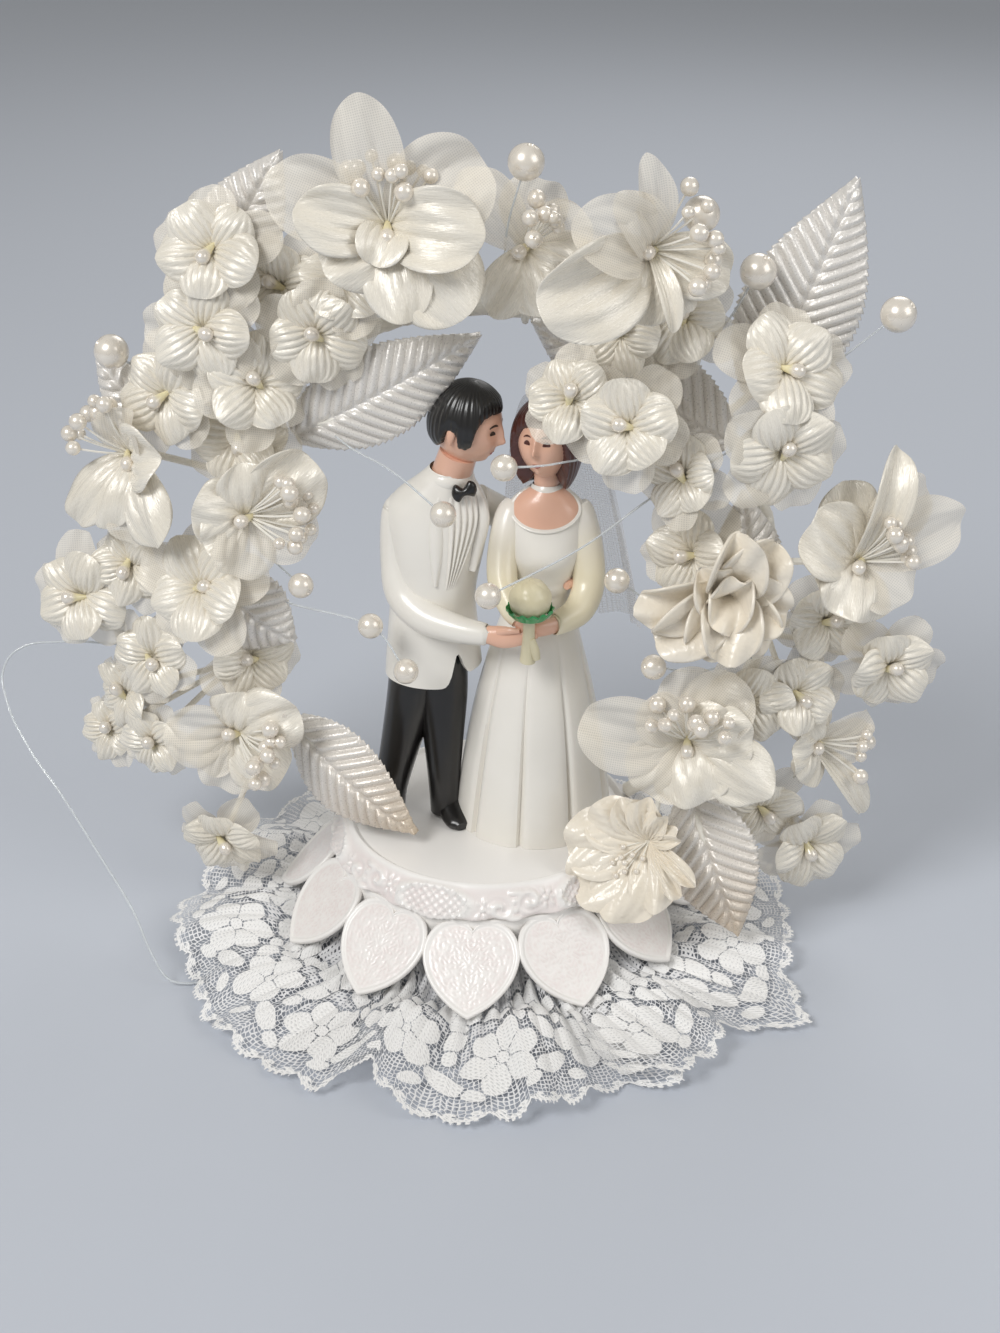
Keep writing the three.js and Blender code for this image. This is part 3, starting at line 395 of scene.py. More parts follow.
# Lace ruffle: machine-knitted nylon lace, white, gathered on a thread round the foot of the base under the
# hearts, and spread on the table in folds. Its cut ends overlap at the front right, and the upper one lifts.
LACE_LENGTH, LACE_WIDTH, LACE_HIDDEN = 532, 52, 21
LACE_REPEAT, LACE_SCALLOP, SCALLOP_DEPTH = 53.2, 8.87, 2.4
LACE_FOLDS, LACE_FOLD_HEIGHT, LACE_REST = 12, 6, 0.65
GATHERS, UNDER_GATHERS, RIPPLES = 44, 26, 31
LACE_HEAD_RADIUS, LACE_HEAD_HEIGHT, HEART_REACH = 36.6, 9.5, 54.8
LACE_END, LACE_OVERLAP, LACE_FLAP, FLAP_SPAN = 35, 10, 5.5, 11
LACE_REACH = [
    (-180, 68), (-150, 69), (-120, 73), (-100, 77), (-87, 76), (-74, 82), (-60, 81), (-48, 86), (-36, 86),
    (-23, 88), (-15, 78), (-8, 87), (2, 90), (18, 89), (28, 82), (34, 89), (44, 86), (51, 80), (60, 94),
    (67, 82), (96, 77), (120, 73), (150, 69), (180, 68),
]
NET_CELL, PICOT, STITCH = 1.15, 1.3, 0.55
WAVE = 2 * np.pi / 20  # a wave texture's scale for bands one unit apart
ROSES = [
    (13.5, 18, 6, 6.2, 5, 3.9, 10), (40, 20, 5, 5.8, 4.9, 4.3, 35), (27, 35, 5, 4.8, 4.1, 3.7, 0),
    (53, 36, 5, 4.8, 4.1, 3.7, 60),
]
LEAF_STITCHES = [
    (26.5, 12.5, 6.2, 2.9, 25), (27, 23.5, 5.6, 3, -42), (0.5, 26, 5.8, 2.9, 65), (53, 12, 6, 2.8, -28),
    (40, 33.5, 5.4, 2.6, 20), (13.5, 32.5, 5.6, 2.7, -15), (46.5, 8.4, 3.6, 2, 40), (33.5, 8.2, 3.4, 2, -35),
    (20, 8, 3.4, 1.9, 30), (6, 8.4, 3.4, 2, -30), (33, 28, 3, 2, 60), (20.5, 28, 3, 2, -60),
    (53, 20, 3.4, 2.2, 80),
]


def ring_of(east, north, count, reach, long, short, start):
    """The petals of a stitched flower, each an oval with its middle, half length, half width and angle."""
    turns = start + np.arange(count) * 360 / count
    ways = [(reach * np.cos(np.radians(a)), reach * np.sin(np.radians(a)), a) for a in turns]
    return [(east + dx, north + dy, long, short, a) for dx, dy, a in ways]


length, width = grid(1051, 91)
run = LACE_LENGTH * length
rim = LACE_WIDTH - SCALLOP_DEPTH * (1 - np.abs(np.sin(np.pi * run / LACE_SCALLOP))) ** 1.5
across_lace = rim * width
edge_way = rim - across_lace
ovals = [oval for flower in ROSES for oval in [*ring_of(*flower), (*flower[:2], 2.2, 2.2, 0)]]
stitched = [(LACE_REPEAT, *oval) for oval in [*ovals, *LEAF_STITCHES]]
stitched += [(LACE_SCALLOP, *oval) for oval in ring_of(LACE_SCALLOP / 2, 3, 10, 2.3, 1.7, 1.1, 180)[:6]]
first = np.full(run.shape, -9.0)
second = first.copy()
for repeat, east, north, long, short, angle in stitched:
    dx = (run - east + repeat / 2) % repeat - repeat / 2
    dy = LACE_WIDTH - across_lace - north
    c, s = np.cos(np.radians(angle)), np.sin(np.radians(angle))
    oval = short * (1 - np.hypot((dx * c + dy * s) / long, (dy * c - dx * s) / short))
    first, second = np.maximum(first, oval), np.maximum(second, np.minimum(first, oval))
pattern = np.where(first > 0, np.minimum(first, first - second), first)
pattern = np.maximum(pattern, 0.75 - np.abs(edge_way - 1.1))

beyond = (360 + LACE_OVERLAP) * length
bearing = LACE_END - LACE_OVERLAP + beyond
turn, facing_front = np.radians(bearing), (bearing + 180) % 360 - 180
far = np.interp(facing_front, *np.transpose(LACE_REACH))
under = np.clip(across_lace / LACE_HIDDEN, 0, 1)
open_part = np.clip((across_lace - LACE_HIDDEN) / (LACE_WIDTH - LACE_HIDDEN), 0, 1)
reach = LACE_HEAD_RADIUS + (HEART_REACH - LACE_HEAD_RADIUS) * under + (far - HEART_REACH) * open_part
gather = 3.2 * (1 - open_part) * np.clip(1.4 - under, 0, 1) * np.sin(GATHERS * turn)
gather += 1.1 * np.sin(np.pi * under) * np.sin(UNDER_GATHERS * turn + 1)
loose = np.clip((across_lace - 10) / 16, 0, 1)
fold = LACE_FOLD_HEIGHT + 2 * np.sin(3 * turn + 1) + 1.6 * np.sin(5 * turn + 2)
fold *= (0.5 - 0.5 * np.cos(LACE_FOLDS * turn)) * loose ** 2 * (3 - 2 * loose) * (1 - 0.35 * open_part)
fold += 0.9 * open_part * (1 + np.sin(RIPPLES * turn + 2 * np.sin(3 * turn)))
fold += 4.5 * np.sin(np.pi * open_part) * np.exp(-((facing_front + 60) / 12) ** 2)
level = LACE_REST + (1 - under) ** 2 * (LACE_HEAD_HEIGHT - LACE_REST) + fold + np.abs(gather)
level += 1.2 * np.clip(2 - beyond / LACE_OVERLAP, 0, 1)
level += LACE_FLAP * np.exp(-beyond / FLAP_SPAN) * np.sqrt(open_part)
swing = 0.03 * open_part * np.sin(LACE_FOLDS * turn)
spread = points(reach * np.sin(turn + swing), -reach * np.cos(turn + swing), level)

# Lace thread is bright nylon. Flowers are worked in close cloth stitch, a row of open holes runs round
# each petal, and the net between them is see-through, more so near the edge.
lace_thread = blank("white_nylon_lace")
chart = add(lace_thread, "UVMap", {}, uv_map="map")
figure = add(lace_thread, "Attribute", {}, out="Fac", attribute_name="mark")
way = add(lace_thread, "SeparateXYZ", {"Vector": chart}, out="Y")
net = add(lace_thread, "TexVoronoi", {
    "Vector": chart, "Scale": 1 / NET_CELL, "Randomness": 0.4,
}, out="Distance", feature="DISTANCE_TO_EDGE", voronoi_dimensions="2D")
thick = add(lace_thread, "MapRange", {
    "Value": way, "From Min": 6, "From Max": 34, "To Min": 0.15, "To Max": 0.32,
})
ground = add(lace_thread, "Math", {"Value": thick, "Value_001": net}, operation="GREATER_THAN")
bars = add(lace_thread, "MapRange", {
    "Value": net, "From Min": 0.06, "From Max": 0.12, "To Min": 1, "To Max": 0,
})
holes = add(lace_thread, "Math", {
    "Value": figure, "Value_001": -0.12, "Value_002": 0.5,
}, operation="COMPARE")
open_net = add(lace_thread, "Mix", {"Factor_Float": holes, "A_Float": ground, "B_Float": bars})
stitch = add(lace_thread, "TexWave", {
    "Vector": chart, "Scale": WAVE / STITCH, "Distortion": 2, "Detail": 1, "Detail Scale": 1,
}, out="Fac", bands_direction="DIAGONAL")
dense = add(lace_thread, "MapRange", {"Value": stitch, "To Min": 0.74, "To Max": 1})
cloth = add(lace_thread, "MapRange", {"Value": figure, "From Min": 0.24, "From Max": 0.42, "To Max": dense})
thread = add(lace_thread, "Math", {"Value": cloth, "Value_001": open_net}, operation="MAXIMUM")
loops = add(lace_thread, "TexWave", {"Vector": chart, "Scale": WAVE / PICOT}, out="Fac")
loops = add(lace_thread, "Math", {"Value": loops, "Value_001": 0.4}, operation="GREATER_THAN")
within = add(lace_thread, "Math", {"Value": way, "Value_001": 0.8}, operation="GREATER_THAN")
loops = add(lace_thread, "Math", {"Value": loops, "Value_001": within}, operation="MAXIMUM")
worked = add(lace_thread, "Math", {"Value": cloth, "Value_001": stitch}, operation="MULTIPLY")
shade(lace_thread, {
    "Base Color": add(lace_thread, "Mix", {
        "Factor_Float": cloth, "A_Color": "#e9e9ea", "B_Color": "#f6f5f3",
    }, data_type="RGBA"),
    "Roughness": 0.55, "Sheen Weight": 0.3,
    "Alpha": add(lace_thread, "Math", {"Value": thread, "Value_001": loops}, operation="MULTIPLY"),
    "Normal": add(lace_thread, "Bump", {"Height": worked, "Strength": 0.35, "Distance": 0.12 * MM}),
})
ruffle = [(spread, 0, np.stack([run, edge_way], -1), pattern)]
lace = piece("lace", ruffle, [lace_thread], "lace_ruffle")


# Groom: a figure cast in one piece and brushed with gloss paint. Ivory dinner jacket with a cutaway hem,
# black trousers, shoes, hair and bow tie. The feet are glued to the platform, and it turns to the bride.
STAND, SHOULDERS, BRUSHED_CLOUD = 28.05, (97, 110), 7
JACKET_TOP, JACKET_HEM, NOTCH = 120.5, 66.6, 0.62
JACKET = [
    (-13.4, 0.5, 62, 12.1, 9.4), (-13.2, 0.3, 70, 11.8, 9.2), (-13.2, 0, 80, 10.9, 8.7),
    (-13, 0, 90, 10.3, 8.4), (-12.2, 0, 101, 11.6, 8.8), (-11.8, 0, 109, 12.4, 8.2),
    (-11.2, 0, 114, 10.6, 7), (-9.8, 0, 118, 7, 5.8), (-8.6, -0.2, JACKET_TOP, 5.3, 5.2),
]
LEGS = [
    [(-25, -2, 29.4, 4.1, 4.6), (-24.2, -1.6, 36, 4.2, 4.8), (-21.6, -0.3, 48, 5.1, 5.8),
     (-18.4, 0, 62, 6.4, 6.6), (-17, 0, 74, 6.8, 7)],
    [(-10.4, -2.6, 29.4, 3.9, 4.5), (-10.8, -2.2, 36, 3.9, 4.7), (-11, -0.9, 49, 5, 5.8),
     (-11.2, 0, 62, 6.3, 6.6), (-11.6, 0, 74, 6.6, 7)],
]
SHOES = [
    [(-24.6, 1.2, 30.4, 2.7, 2.6), (-25.2, -2, 31, 3.2, 3), (-26.4, -6, 30.2, 3.4, 2.4),
     (-27.4, -9, 29.6, 3, 1.8), (-27.8, -10.6, 29.3, 1.6, 1.2)],
    [(-11.2, 1, 30.4, 2.7, 2.6), (-9.8, -2.4, 31, 3.2, 3), (-7.9, -6.4, 30.2, 3.5, 2.4),
     (-6.2, -9.4, 29.6, 3.2, 1.8), (-5.4, -10.9, 29.3, 1.7, 1.2)],
]
GROOM_HAIRLINE = [
    (0, 0.55), (0.45, 0.58), (0.8, 0.45), (1, 0.2), (1.08, -0.25), (1.18, -0.36), (1.42, -0.36), (1.5, -0.1),
    (1.6, 0), (1.8, 0), (1.95, -0.4), (2.3, -0.62), (3.15, -0.66),
]
EAR = [(-2, 0.4, 0.3), (-1.2, 0.8, 0.6), (0.3, 1.2, 0.8), (1.4, 1, 0.6), (2, 0.4, 0.3)]


def paint(name, dark, light, gloss=0.35, shoulder=None):
    """A paint brushed thin on moulded plastic: smooth, with slow changes of tint and gloss. A shoulder tint
    takes its place toward the height of the shoulders."""
    finish, place, cloud, tint = clouded(name, BRUSHED_CLOUD, dark, light)
    if shoulder:
        height = add(finish, "SeparateXYZ", {"Vector": place}, out="Z")
        low, high = SHOULDERS
        share = add(finish, "MapRange", {"Value": height, "From Min": low * MM, "From Max": high * MM})
        tint = add(finish, "Mix", {
            "Factor_Float": share, "A_Color": tint, "B_Color": shoulder,
        }, data_type="RGBA")
    return shade(finish, {
        "Base Color": tint, "IOR": 1.5, "Coat Weight": gloss, "Coat Roughness": 0.1,
        "Roughness": add(finish, "MapRange", {"Value": cloud, "To Min": 0.27, "To Max": 0.33}),
        "Normal": add(finish, "Bump", {"Height": cloud, "Strength": 0.04, "Distance": 0.4 * MM}),
    })


# The paints of the couple: ivory and cream for cloth, black, a warm peach for skin, brown and a dull red.
COUPLE_PAINTS = [
    paint("ivory_gloss_paint", "#ebe7de", "#f1ede5"),
    paint("cream_gloss_paint", "#ebdfbd", "#f1e8cf", shoulder="#eee9df"),
    paint("black_gloss_paint", "#0d0c0c", "#1b1918"), paint("peach_gloss_paint", "#e2af95", "#ebbfa7"),
    paint("brown_gloss_paint", "#3d201c", "#5a3029"), paint("dull_red_gloss_paint", "#a5483f", "#b8594d"),
]
IVORY, CREAM, BLACK, SKIN, BROWN, RED = range(6)


def tube(keys, steps, sides, across=(0.31, 0.22, 0.92)):
    """A round or oval section carried along a smooth path, closed at both ends. Each key holds a point, a
    half width and, for an oval, a half depth, and the width keeps to one direction across the path."""
    way = spline(keys, steps)
    middle, wide, deep = way[:, :3], way[:, 3], way[:, -1]
    ahead = np.gradient(middle, axis=0)
    ahead /= np.linalg.norm(ahead, axis=1)[:, None]
    right = np.array(across) - ahead * (ahead @ across)[:, None]
    right /= np.linalg.norm(right, axis=1)[:, None]
    turn = np.linspace(0, 2 * np.pi, sides + 1)
    ring = middle[:, None] + (wide[:, None] * np.cos(turn))[..., None] * right[:, None]
    ring += (deep[:, None] * np.sin(turn))[..., None] * np.cross(ahead, right)[:, None]
    ends = np.repeat(middle[[0, -1], None], sides + 1, axis=1)
    return np.concatenate([ends[:1], ring, ends[1:]])


def limbs(*rows):
    """Patches for arms, hands and necks, from rows of a finish, the sides of a section and its keys."""
    return [(tube(keys, 8 * len(keys), sides, (0.2, 0.1, 0.97)), finish) for finish, sides, keys in rows]


def body(levels, turn, height, swell=0):
    """A point of a figure's clothes: an oval whose middle and half sizes follow its levels with the height,
    at an angle round from the front, swollen outward by a few tenths where something lies on it."""
    dense = spline(levels, 240)
    x, y, wide, deep = (np.interp(height, dense[:, 2], dense[:, k]) for k in (0, 1, 3, 4))
    return points(x + (wide + swell) * np.sin(turn), y - (deep + swell) * np.cos(turn), height)


def basis(look, right=(1, 0, 0)):
    """Three directions as rows: across, up and along the way that something looks."""
    look = np.asarray(look, float) / np.linalg.norm(look)
    up = np.cross(look, right)
    up /= np.linalg.norm(up)
    return np.array([np.cross(up, look), up, look])


def skull(place, axes, size, turn, rise, swell=0, jaw=0.3):
    """A point of a doll's head at an angle round from the face and an angle up: an egg that narrows to the
    jaw. Nose, lips, chin and cheeks stand out and the eyes lie in, each as a bell curve of both angles."""
    def bell(a, b, wide, high):
        return np.exp(-((turn - a) / wide) ** 2 - ((rise - b) / high) ** 2)

    narrow = 1 - jaw * np.clip(-rise / 1.35, 0, 1) ** 1.5
    across = size[0] * np.cos(rise) * np.sin(turn) * narrow
    ahead = size[1] * np.cos(rise) * np.cos(turn) * (1 - 0.5 * (1 - narrow))
    ahead += 1.5 * bell(0, -0.16, 0.13, 0.12) + 0.9 * bell(0, 0.06, 0.11, 0.2)
    ahead += 0.9 * bell(0, -0.86, 0.34, 0.2)
    ahead += 0.4 * bell(0, -0.47, 0.24, 0.07) + 0.4 * bell(0, -0.6, 0.2, 0.07)
    for side in (1, -1):
        ahead += 0.35 * bell(0.55 * side, -0.28, 0.3, 0.3) - 0.6 * bell(0.36 * side, 0.1, 0.2, 0.13)
    local = points(across, size[2] * np.sin(rise), ahead)
    local *= 1 + (swell / np.linalg.norm(local, axis=-1))[..., None]
    return np.array(place) + local @ axes


def head(shape):
    """The bare head over a grid that is close at the face and wide at the back. A shape holds a head's
    place, axes and half sizes."""
    u, v = grid(97, 65)
    turn = np.pi * np.sign(2 * u - 1) * np.abs(2 * u - 1) ** 1.6
    return skull(*shape, turn, np.pi * (v - 0.5))


def brushed(shape, turn, rise, wide, high, tilt, bow):
    """A brush mark on a face: an oval of the two angles, tilted or bowed, a hair above the skin."""
    u, v = grid(17, 7)
    a, b = wide * v * np.cos(2 * np.pi * u), high * v * np.sin(2 * np.pi * u)
    return skull(*shape, turn + a, rise + b + tilt * a - bow * a ** 2, 0.07)


def face(shape, finish, eye, brow, brow_rise, brow_bow, lips):
    """Patches for a painted face: two eyes, two brows and lips, each from the half sizes of its mark."""
    marks = []
    for side in (1, -1):
        marks.append((brushed(shape, 0.37 * side, 0.1, *eye, 0, 1.5), finish))
        marks.append((brushed(shape, 0.38 * side, brow_rise, *brow, -0.1 * side, brow_bow), finish))
    return [*marks, (brushed(shape, 0, -0.535, *lips, 0, -0.6), RED)]


def hair(shape, hairline, thick, jaw, fall=0):
    """Hair: the head's shape swollen above a hairline that is given round from the face, sunk out of sight
    below it, and let fall straight where it is long."""
    u, v = grid(181, 121)
    turn, rise = 2 * np.pi * (u - 0.5), np.pi * (v - 0.5)
    inside = (rise - np.interp(np.abs(turn), *np.transpose(hairline))) / 0.3
    lift = np.where(inside > 0, 0.25 + thick * np.clip(inside, 0, 1) ** 0.5, -1.6)
    lift = lift + 0.1 * np.sin(38 * turn + 5 * rise) * (inside > 0) * np.cos(rise)
    hang = fall * np.minimum(np.sin(rise), 0) * np.clip(inside, 0, 1)
    return skull(*shape, turn, rise, lift, jaw) + hang[..., None] * shape[1][1]


# Trousers and shoes, whose soles are flat on the platform.
parts = [(tube(keys, 30, 28, (1, 0, 0)), BLACK) for keys in LEGS]
for keys in SHOES:
    sole = tube(keys, 26, 28, (1, 0, 0))
    sole[..., 2] = np.maximum(sole[..., 2], STAND)
    parts.append((sole, BLACK))

# Jacket: its hem is cut away to a notch at the front, and its lapels and shirt pleats lie on the chest.
u, v = grid(97, 61)
turn = 2 * np.pi * (u - 0.5)
hem = JACKET_HEM + 8 * np.exp(-((turn - NOTCH) / 0.16) ** 2) + 3.4 / (1 + np.exp(-(turn - 0.7) / 0.1))
hem += 1.8 * (turn / np.pi) ** 2
lip = 0.25 * np.exp(-((turn - NOTCH) / 0.2) ** 2) * (1 - v)
jacket = body(JACKET, turn, hem + (JACKET_TOP - hem) * v, lip)
lining = body(JACKET, turn[:4], hem[:4] + np.array([9, 6, 3, 0.4])[:, None], -1.3)
parts.append((np.concatenate([lining, jacket]), IVORY))
u, v = grid(49, 41)
turn = (0.42 + 0.1 * v) + (0.18 + 0.62 * v ** 1.2) * (u - 0.35)
ridges = np.abs(np.sin(np.pi * 4.5 * u)) ** 0.7 * np.sin(np.pi * np.clip(1.05 * v, 0, 1)) ** 0.5
parts.append((body(JACKET, turn, 92 + 25.4 * v, -0.3 + 1.25 * ridges), IVORY))
u, v = grid(13, 33)
roll = np.sin(np.pi * u) ** 0.6 * (1 - v ** 5)
lapel = 0.95 + 0.3 * v + 0.34 * (u - 0.5) * np.sin(np.pi * (0.12 + 0.83 * v))
parts.append((body(JACKET, lapel, 97 + 22 * v, 0.1 + 1.5 * roll), IVORY))
lapel = 0.12 - 0.1 * v + 0.3 * (u - 0.5) * np.sin(np.pi * (0.1 + 0.83 * v))
parts.append((body(JACKET, lapel, 94 + 23 * v, -0.2 + 0.9 * roll), IVORY))

# Arms with their hands, the neck and the bow tie, and the collar round the neck.
parts += limbs(
    (IVORY, 28, [(-19.2, 0.4, 113.5, 2.1), (-20, 0.3, 111.3, 3.5), (-20.6, 0, 108, 4.5),
                 (-20.9, -1.4, 98, 4.5), (-19.6, -4.4, 90, 4.4), (-14, -8.6, 86, 4.1), (-6, -12, 84.8, 3.4),
                 (0.4, -13.7, 84.5, 2.7), (0.9, -13.8, 84.5, 2.2)]),
    (SKIN, 20, [(-1, -13.4, 84.4, 1.9, 1.7), (2, -14.3, 84.6, 2.3, 1.7), (5, -15.3, 84.7, 2.7, 1.6),
                (8.4, -16.3, 85.3, 2.2, 1.3), (11.4, -16.8, 86, 1.5, 1), (13.2, -16.9, 86.5, 0.8, 0.7)]),
    (SKIN, 14, [(4, -15.6, 86.2, 1, 0.9), (6.6, -16.9, 87.2, 0.9, 0.8), (9.2, -17.4, 87.5, 0.6, 0.6)]),
    (IVORY, 20, [(-3, 4, 111, 4), (5, 9.5, 104, 3.9), (14, 10, 96.5, 3.2), (19, 5, 93.2, 2.4)]),
    (SKIN, 14, [(18.6, 5.4, 93.2, 1.7), (20.4, 1.5, 93.2, 1.6), (20.4, -2.6, 93.6, 1.4),
                (19.2, -5.6, 93.8, 0.8)]),
    (SKIN, 28, [(-9.2, 0.2, 116, 4.9), (-8, -0.6, 120, 4.7), (-6.4, -1.4, 125, 4.5)]),
    (BLACK, 16, [(-6.9, -6.2, 116.4, 1.2, 0.9), (-6.2, -6.7, 116.9, 2.1, 1.2), (-4.6, -7, 117.4, 0.9, 1),
                 (-3, -6.3, 118, 2.1, 1.2), (-2.3, -5.7, 118.2, 1.3, 0.9)]),
)
u, v = grid(49, 13)
turn = 2 * np.pi * (u - 0.5)
collar = 5.7 - 0.7 * v + 0.5 * np.sin(np.pi * v)
dip = 0.12 * collar * (np.cos(turn) * -0.4 - np.sin(turn))
parts.append((points(
    -9.1 + 0.8 * v + collar * np.sin(turn), -0.3 * v - collar * np.cos(turn), 117.4 + 3.2 * v + dip,
), IVORY))

# The head looks to the bride, with a side parting, a sideburn before each ear and a painted face.
gaze = basis((0.93, -0.3, -0.2), (0.3, 0.93, 0))
shape = (-4.2, -2, 132.2), gaze, (6.9, 8.2, 9.4)
parts += [(head(shape), SKIN), (hair(shape, GROOM_HAIRLINE, 1.1, 0.12), BLACK)]
for side in (1, -1):
    lobe = skull(*shape, np.array(1.68 * side), np.array(-0.12), 0.1)
    parts.append((tube([(*(lobe + rise * gaze[1]), *half) for rise, *half in EAR], 14, 14, gaze[2]), SKIN))
parts += face(shape, BLACK, (0.13, 0.055), (0.19, 0.035), 0.3, 1.2, (0.2, 0.05))
piece("groom_painted", parts, COUPLE_PAINTS, "groom_figure")


# Bride: a figure cast and painted like the groom. Ivory gown with a scooped neck and a pleated skirt,
# cream sleeves, a ribbon round the neck and brown hair to the shoulders.
GOWN_TOP, WAIST, PLEATS = 116.8, 92.5, 9
GOWN = [
    (11.3, 1, 28, 19.8, 19), (11.3, 1, 31, 19.5, 18.7), (11.5, 0.8, 44, 17.8, 16.8),
    (11.7, 0.5, 61, 14.8, 13.6), (12, 0, 76, 11.1, 10), (12.3, 0, 85, 8.6, 7.8), (12.6, 0, 91, 7.6, 6.9),
    (12.9, -0.3, 96, 8.3, 7.5), (13.2, -0.7, 101, 9.4, 8.6), (13.6, -0.3, 107, 9.9, 7.3),
    (13.9, 0, 111.5, 9.4, 6.2), (14, 0, 114.5, 7, 5.2), (14, -0.2, 117, 3.6, 3.6),
]
BRIDE_HAIRLINE = [
    (0, 0.5), (0.3, 0.52), (0.65, 0.42), (0.9, 0.12), (1.05, -0.3), (1.12, -0.9), (1.3, -1.15),
    (3.15, -1.25),
]

u, v = grid(217, 81)
turn, height = 2 * np.pi * (u - 0.5), STAND + (GOWN_TOP - STAND) * v
pleat = (PLEATS * u + 0.18) % 1 - 0.5
folds = -1.1 * np.exp(-((pleat / 0.09) ** 2)) * (1 + 0.6 * np.sign(pleat) * (np.abs(pleat) < 0.2))
belt = 0.5 * np.exp(-((height - WAIST) / 0.7) ** 2)
gown = body(GOWN, turn, height, folds * np.clip((82 - height) / 40, 0, 1) + belt)
under = points(11.3 + 0 * turn[:1], 1, STAND)
parts = [(np.concatenate([under, gown]), IVORY)]
u, v = grid(41, 21)
turn = 2.7 * (u - 0.5)
low = 108.6 + 4.4 * (np.abs(turn) / 1.1) ** 2.2
parts.append((body(GOWN, turn, low + (116.9 - low) * v, 0.12), SKIN))
parts.append((body(GOWN, turn, low - 0.9 + 1.1 * v, 0.1 + 0.5 * np.sin(np.pi * v)), IVORY))
parts += limbs(
    (CREAM, 28, [(20.4, 0.4, 112, 3.2), (21.6, 0, 109.5, 4), (23.4, -1.2, 102, 4.1), (24.3, -3.2, 94, 3.9),
                 (22.4, -7.6, 89, 3.6), (18, -12, 87.4, 2.8), (17, -12.8, 87.3, 2.3)]),
    (CREAM, 24, [(7.4, 0, 111.6, 3.2), (5.6, -1.4, 109, 3.8), (4.2, -5.5, 101, 3.7), (4.6, -9, 95.4, 3.5),
                 (7, -12.8, 91, 3), (9, -15, 89, 2.2)]),
    (SKIN, 18, [(18.4, -11.8, 87.4, 2, 1.8), (15.6, -13.9, 87.1, 2, 1.5), (12.6, -15.6, 86.9, 1.7, 1.2),
                (9.8, -16.5, 86.6, 1, 0.8)]),
    (SKIN, 16, [(8.4, -14.6, 89.6, 1.8, 1.5), (10, -16, 88.3, 1.9, 1.3), (12, -16.6, 87.6, 1, 0.8)]),
    (SKIN, 24, [(14, 0, 113.5, 3.3), (14, -0.4, 118, 3), (14, -0.8, 123, 3.2)]),
)
u, v = grid(41, 9)
turn = 2 * np.pi * (u - 0.5)
ribbon = 3.7 + 0.5 * np.sin(np.pi * v) - 0.4 * v
parts.append((points(
    14 + ribbon * np.sin(turn), -0.2 - ribbon * np.cos(turn), 114.6 + 3 * v + 0.3 * np.cos(turn),
), IVORY))
shape = (14, -1.2, 128.6), basis((-0.3, -0.95, 0.06), (1, -0.3, 0.02)), (6.6, 7.4, 8.8)
parts += [(head(shape), SKIN), (hair(shape, BRIDE_HAIRLINE, 1.5, -0.05, 3.6), BROWN)]
parts += face(shape, BROWN, (0.14, 0.06), (0.18, 0.028), 0.29, 1.4, (0.19, 0.065))
piece("bride_painted", parts, COUPLE_PAINTS, "bride_figure")


# Bouquet: a ball of cream blossoms cast with its handle and ribbon ends, with a ruffled green collar
# painted on. It is glued in the bride's hand.
BOUQUET_PLACE, BOUQUET_RADIUS, FRILLS = np.array((11.6, -18.3, 96.2)), 4.8, 14
BOUQUET_ENDS = [
    [(11.5, -18.2, 93, 1.6), (11.3, -17.8, 88, 1.4), (11.2, -17.3, 83, 1.7), (11, -17, 79.6, 1.9)],
    [(11.9, -18.2, 86, 0.9), (12.8, -18.2, 83, 1.1), (13.2, -18, 80.8, 0.9)],
]

u, v = grid(73, 37)
turn, rise = 2 * np.pi * u, np.pi * (v - 0.5)
buds = 1 + 0.05 * np.abs(np.sin(3.5 * turn + 2 * rise) * np.sin(4 * rise + 1)) ** 0.6
buds = BOUQUET_RADIUS * np.where(np.abs(v - 0.5) > 0.48, 1, buds)
wide = buds * np.cos(rise)
ball = BOUQUET_PLACE + points(wide * np.cos(turn), wide * np.sin(turn), buds * np.sin(rise))
ruffle = 4.1 + 1.3 * v + 0.25 * v * np.sin(FRILLS * turn)
level = -3.8 + 1.8 * v + 0.3 * v * np.cos(FRILLS * turn)
frill = BOUQUET_PLACE + points(ruffle * np.cos(turn), ruffle * np.sin(turn), level)
parts = [(ball,), (np.concatenate([frill, (frill - (0, 0, 0.5))[::-1]]), 1)]
parts += [(tube(keys, 16, 14, (1, 0, 0)),) for keys in BOUQUET_ENDS]
bouquet_paints = [
    paint("beige_paint", "#cfc5a2", "#ded6b9", 0.08), paint("green_gloss_paint", "#1d8442", "#3aa45c"),
]
piece("bouquet_painted", parts, bouquet_paints, "bouquet")


# Veil: one layer of fine nylon tulle, cut straight, gathered on the crown of the bride's head
# and hanging in soft folds.
VEIL_TOP, VEIL_FOOT, VEIL_CELL = 138.5, 78, 0.7
VEIL_FLAT = (46, 64)

u, v = grid(97, 61)
turn = np.radians(-60 + 135 * u)
ripple = 1 + 0.12 * np.sqrt(v) * np.sin(9 * turn + 0.6) + 0.05 * v * np.sin(23 * turn)
sheet = points(
    14 + 5 * v + (5.5 + 14.5 * np.sqrt(v)) * ripple * np.sin(turn),
    6.5 - 4 * v + (3.6 + 11 * v ** 0.8) * ripple * np.cos(turn),
    VEIL_TOP - (VEIL_TOP - VEIL_FOOT) * v - 2.5 * (1 - v) * np.sin(turn) ** 2,
)

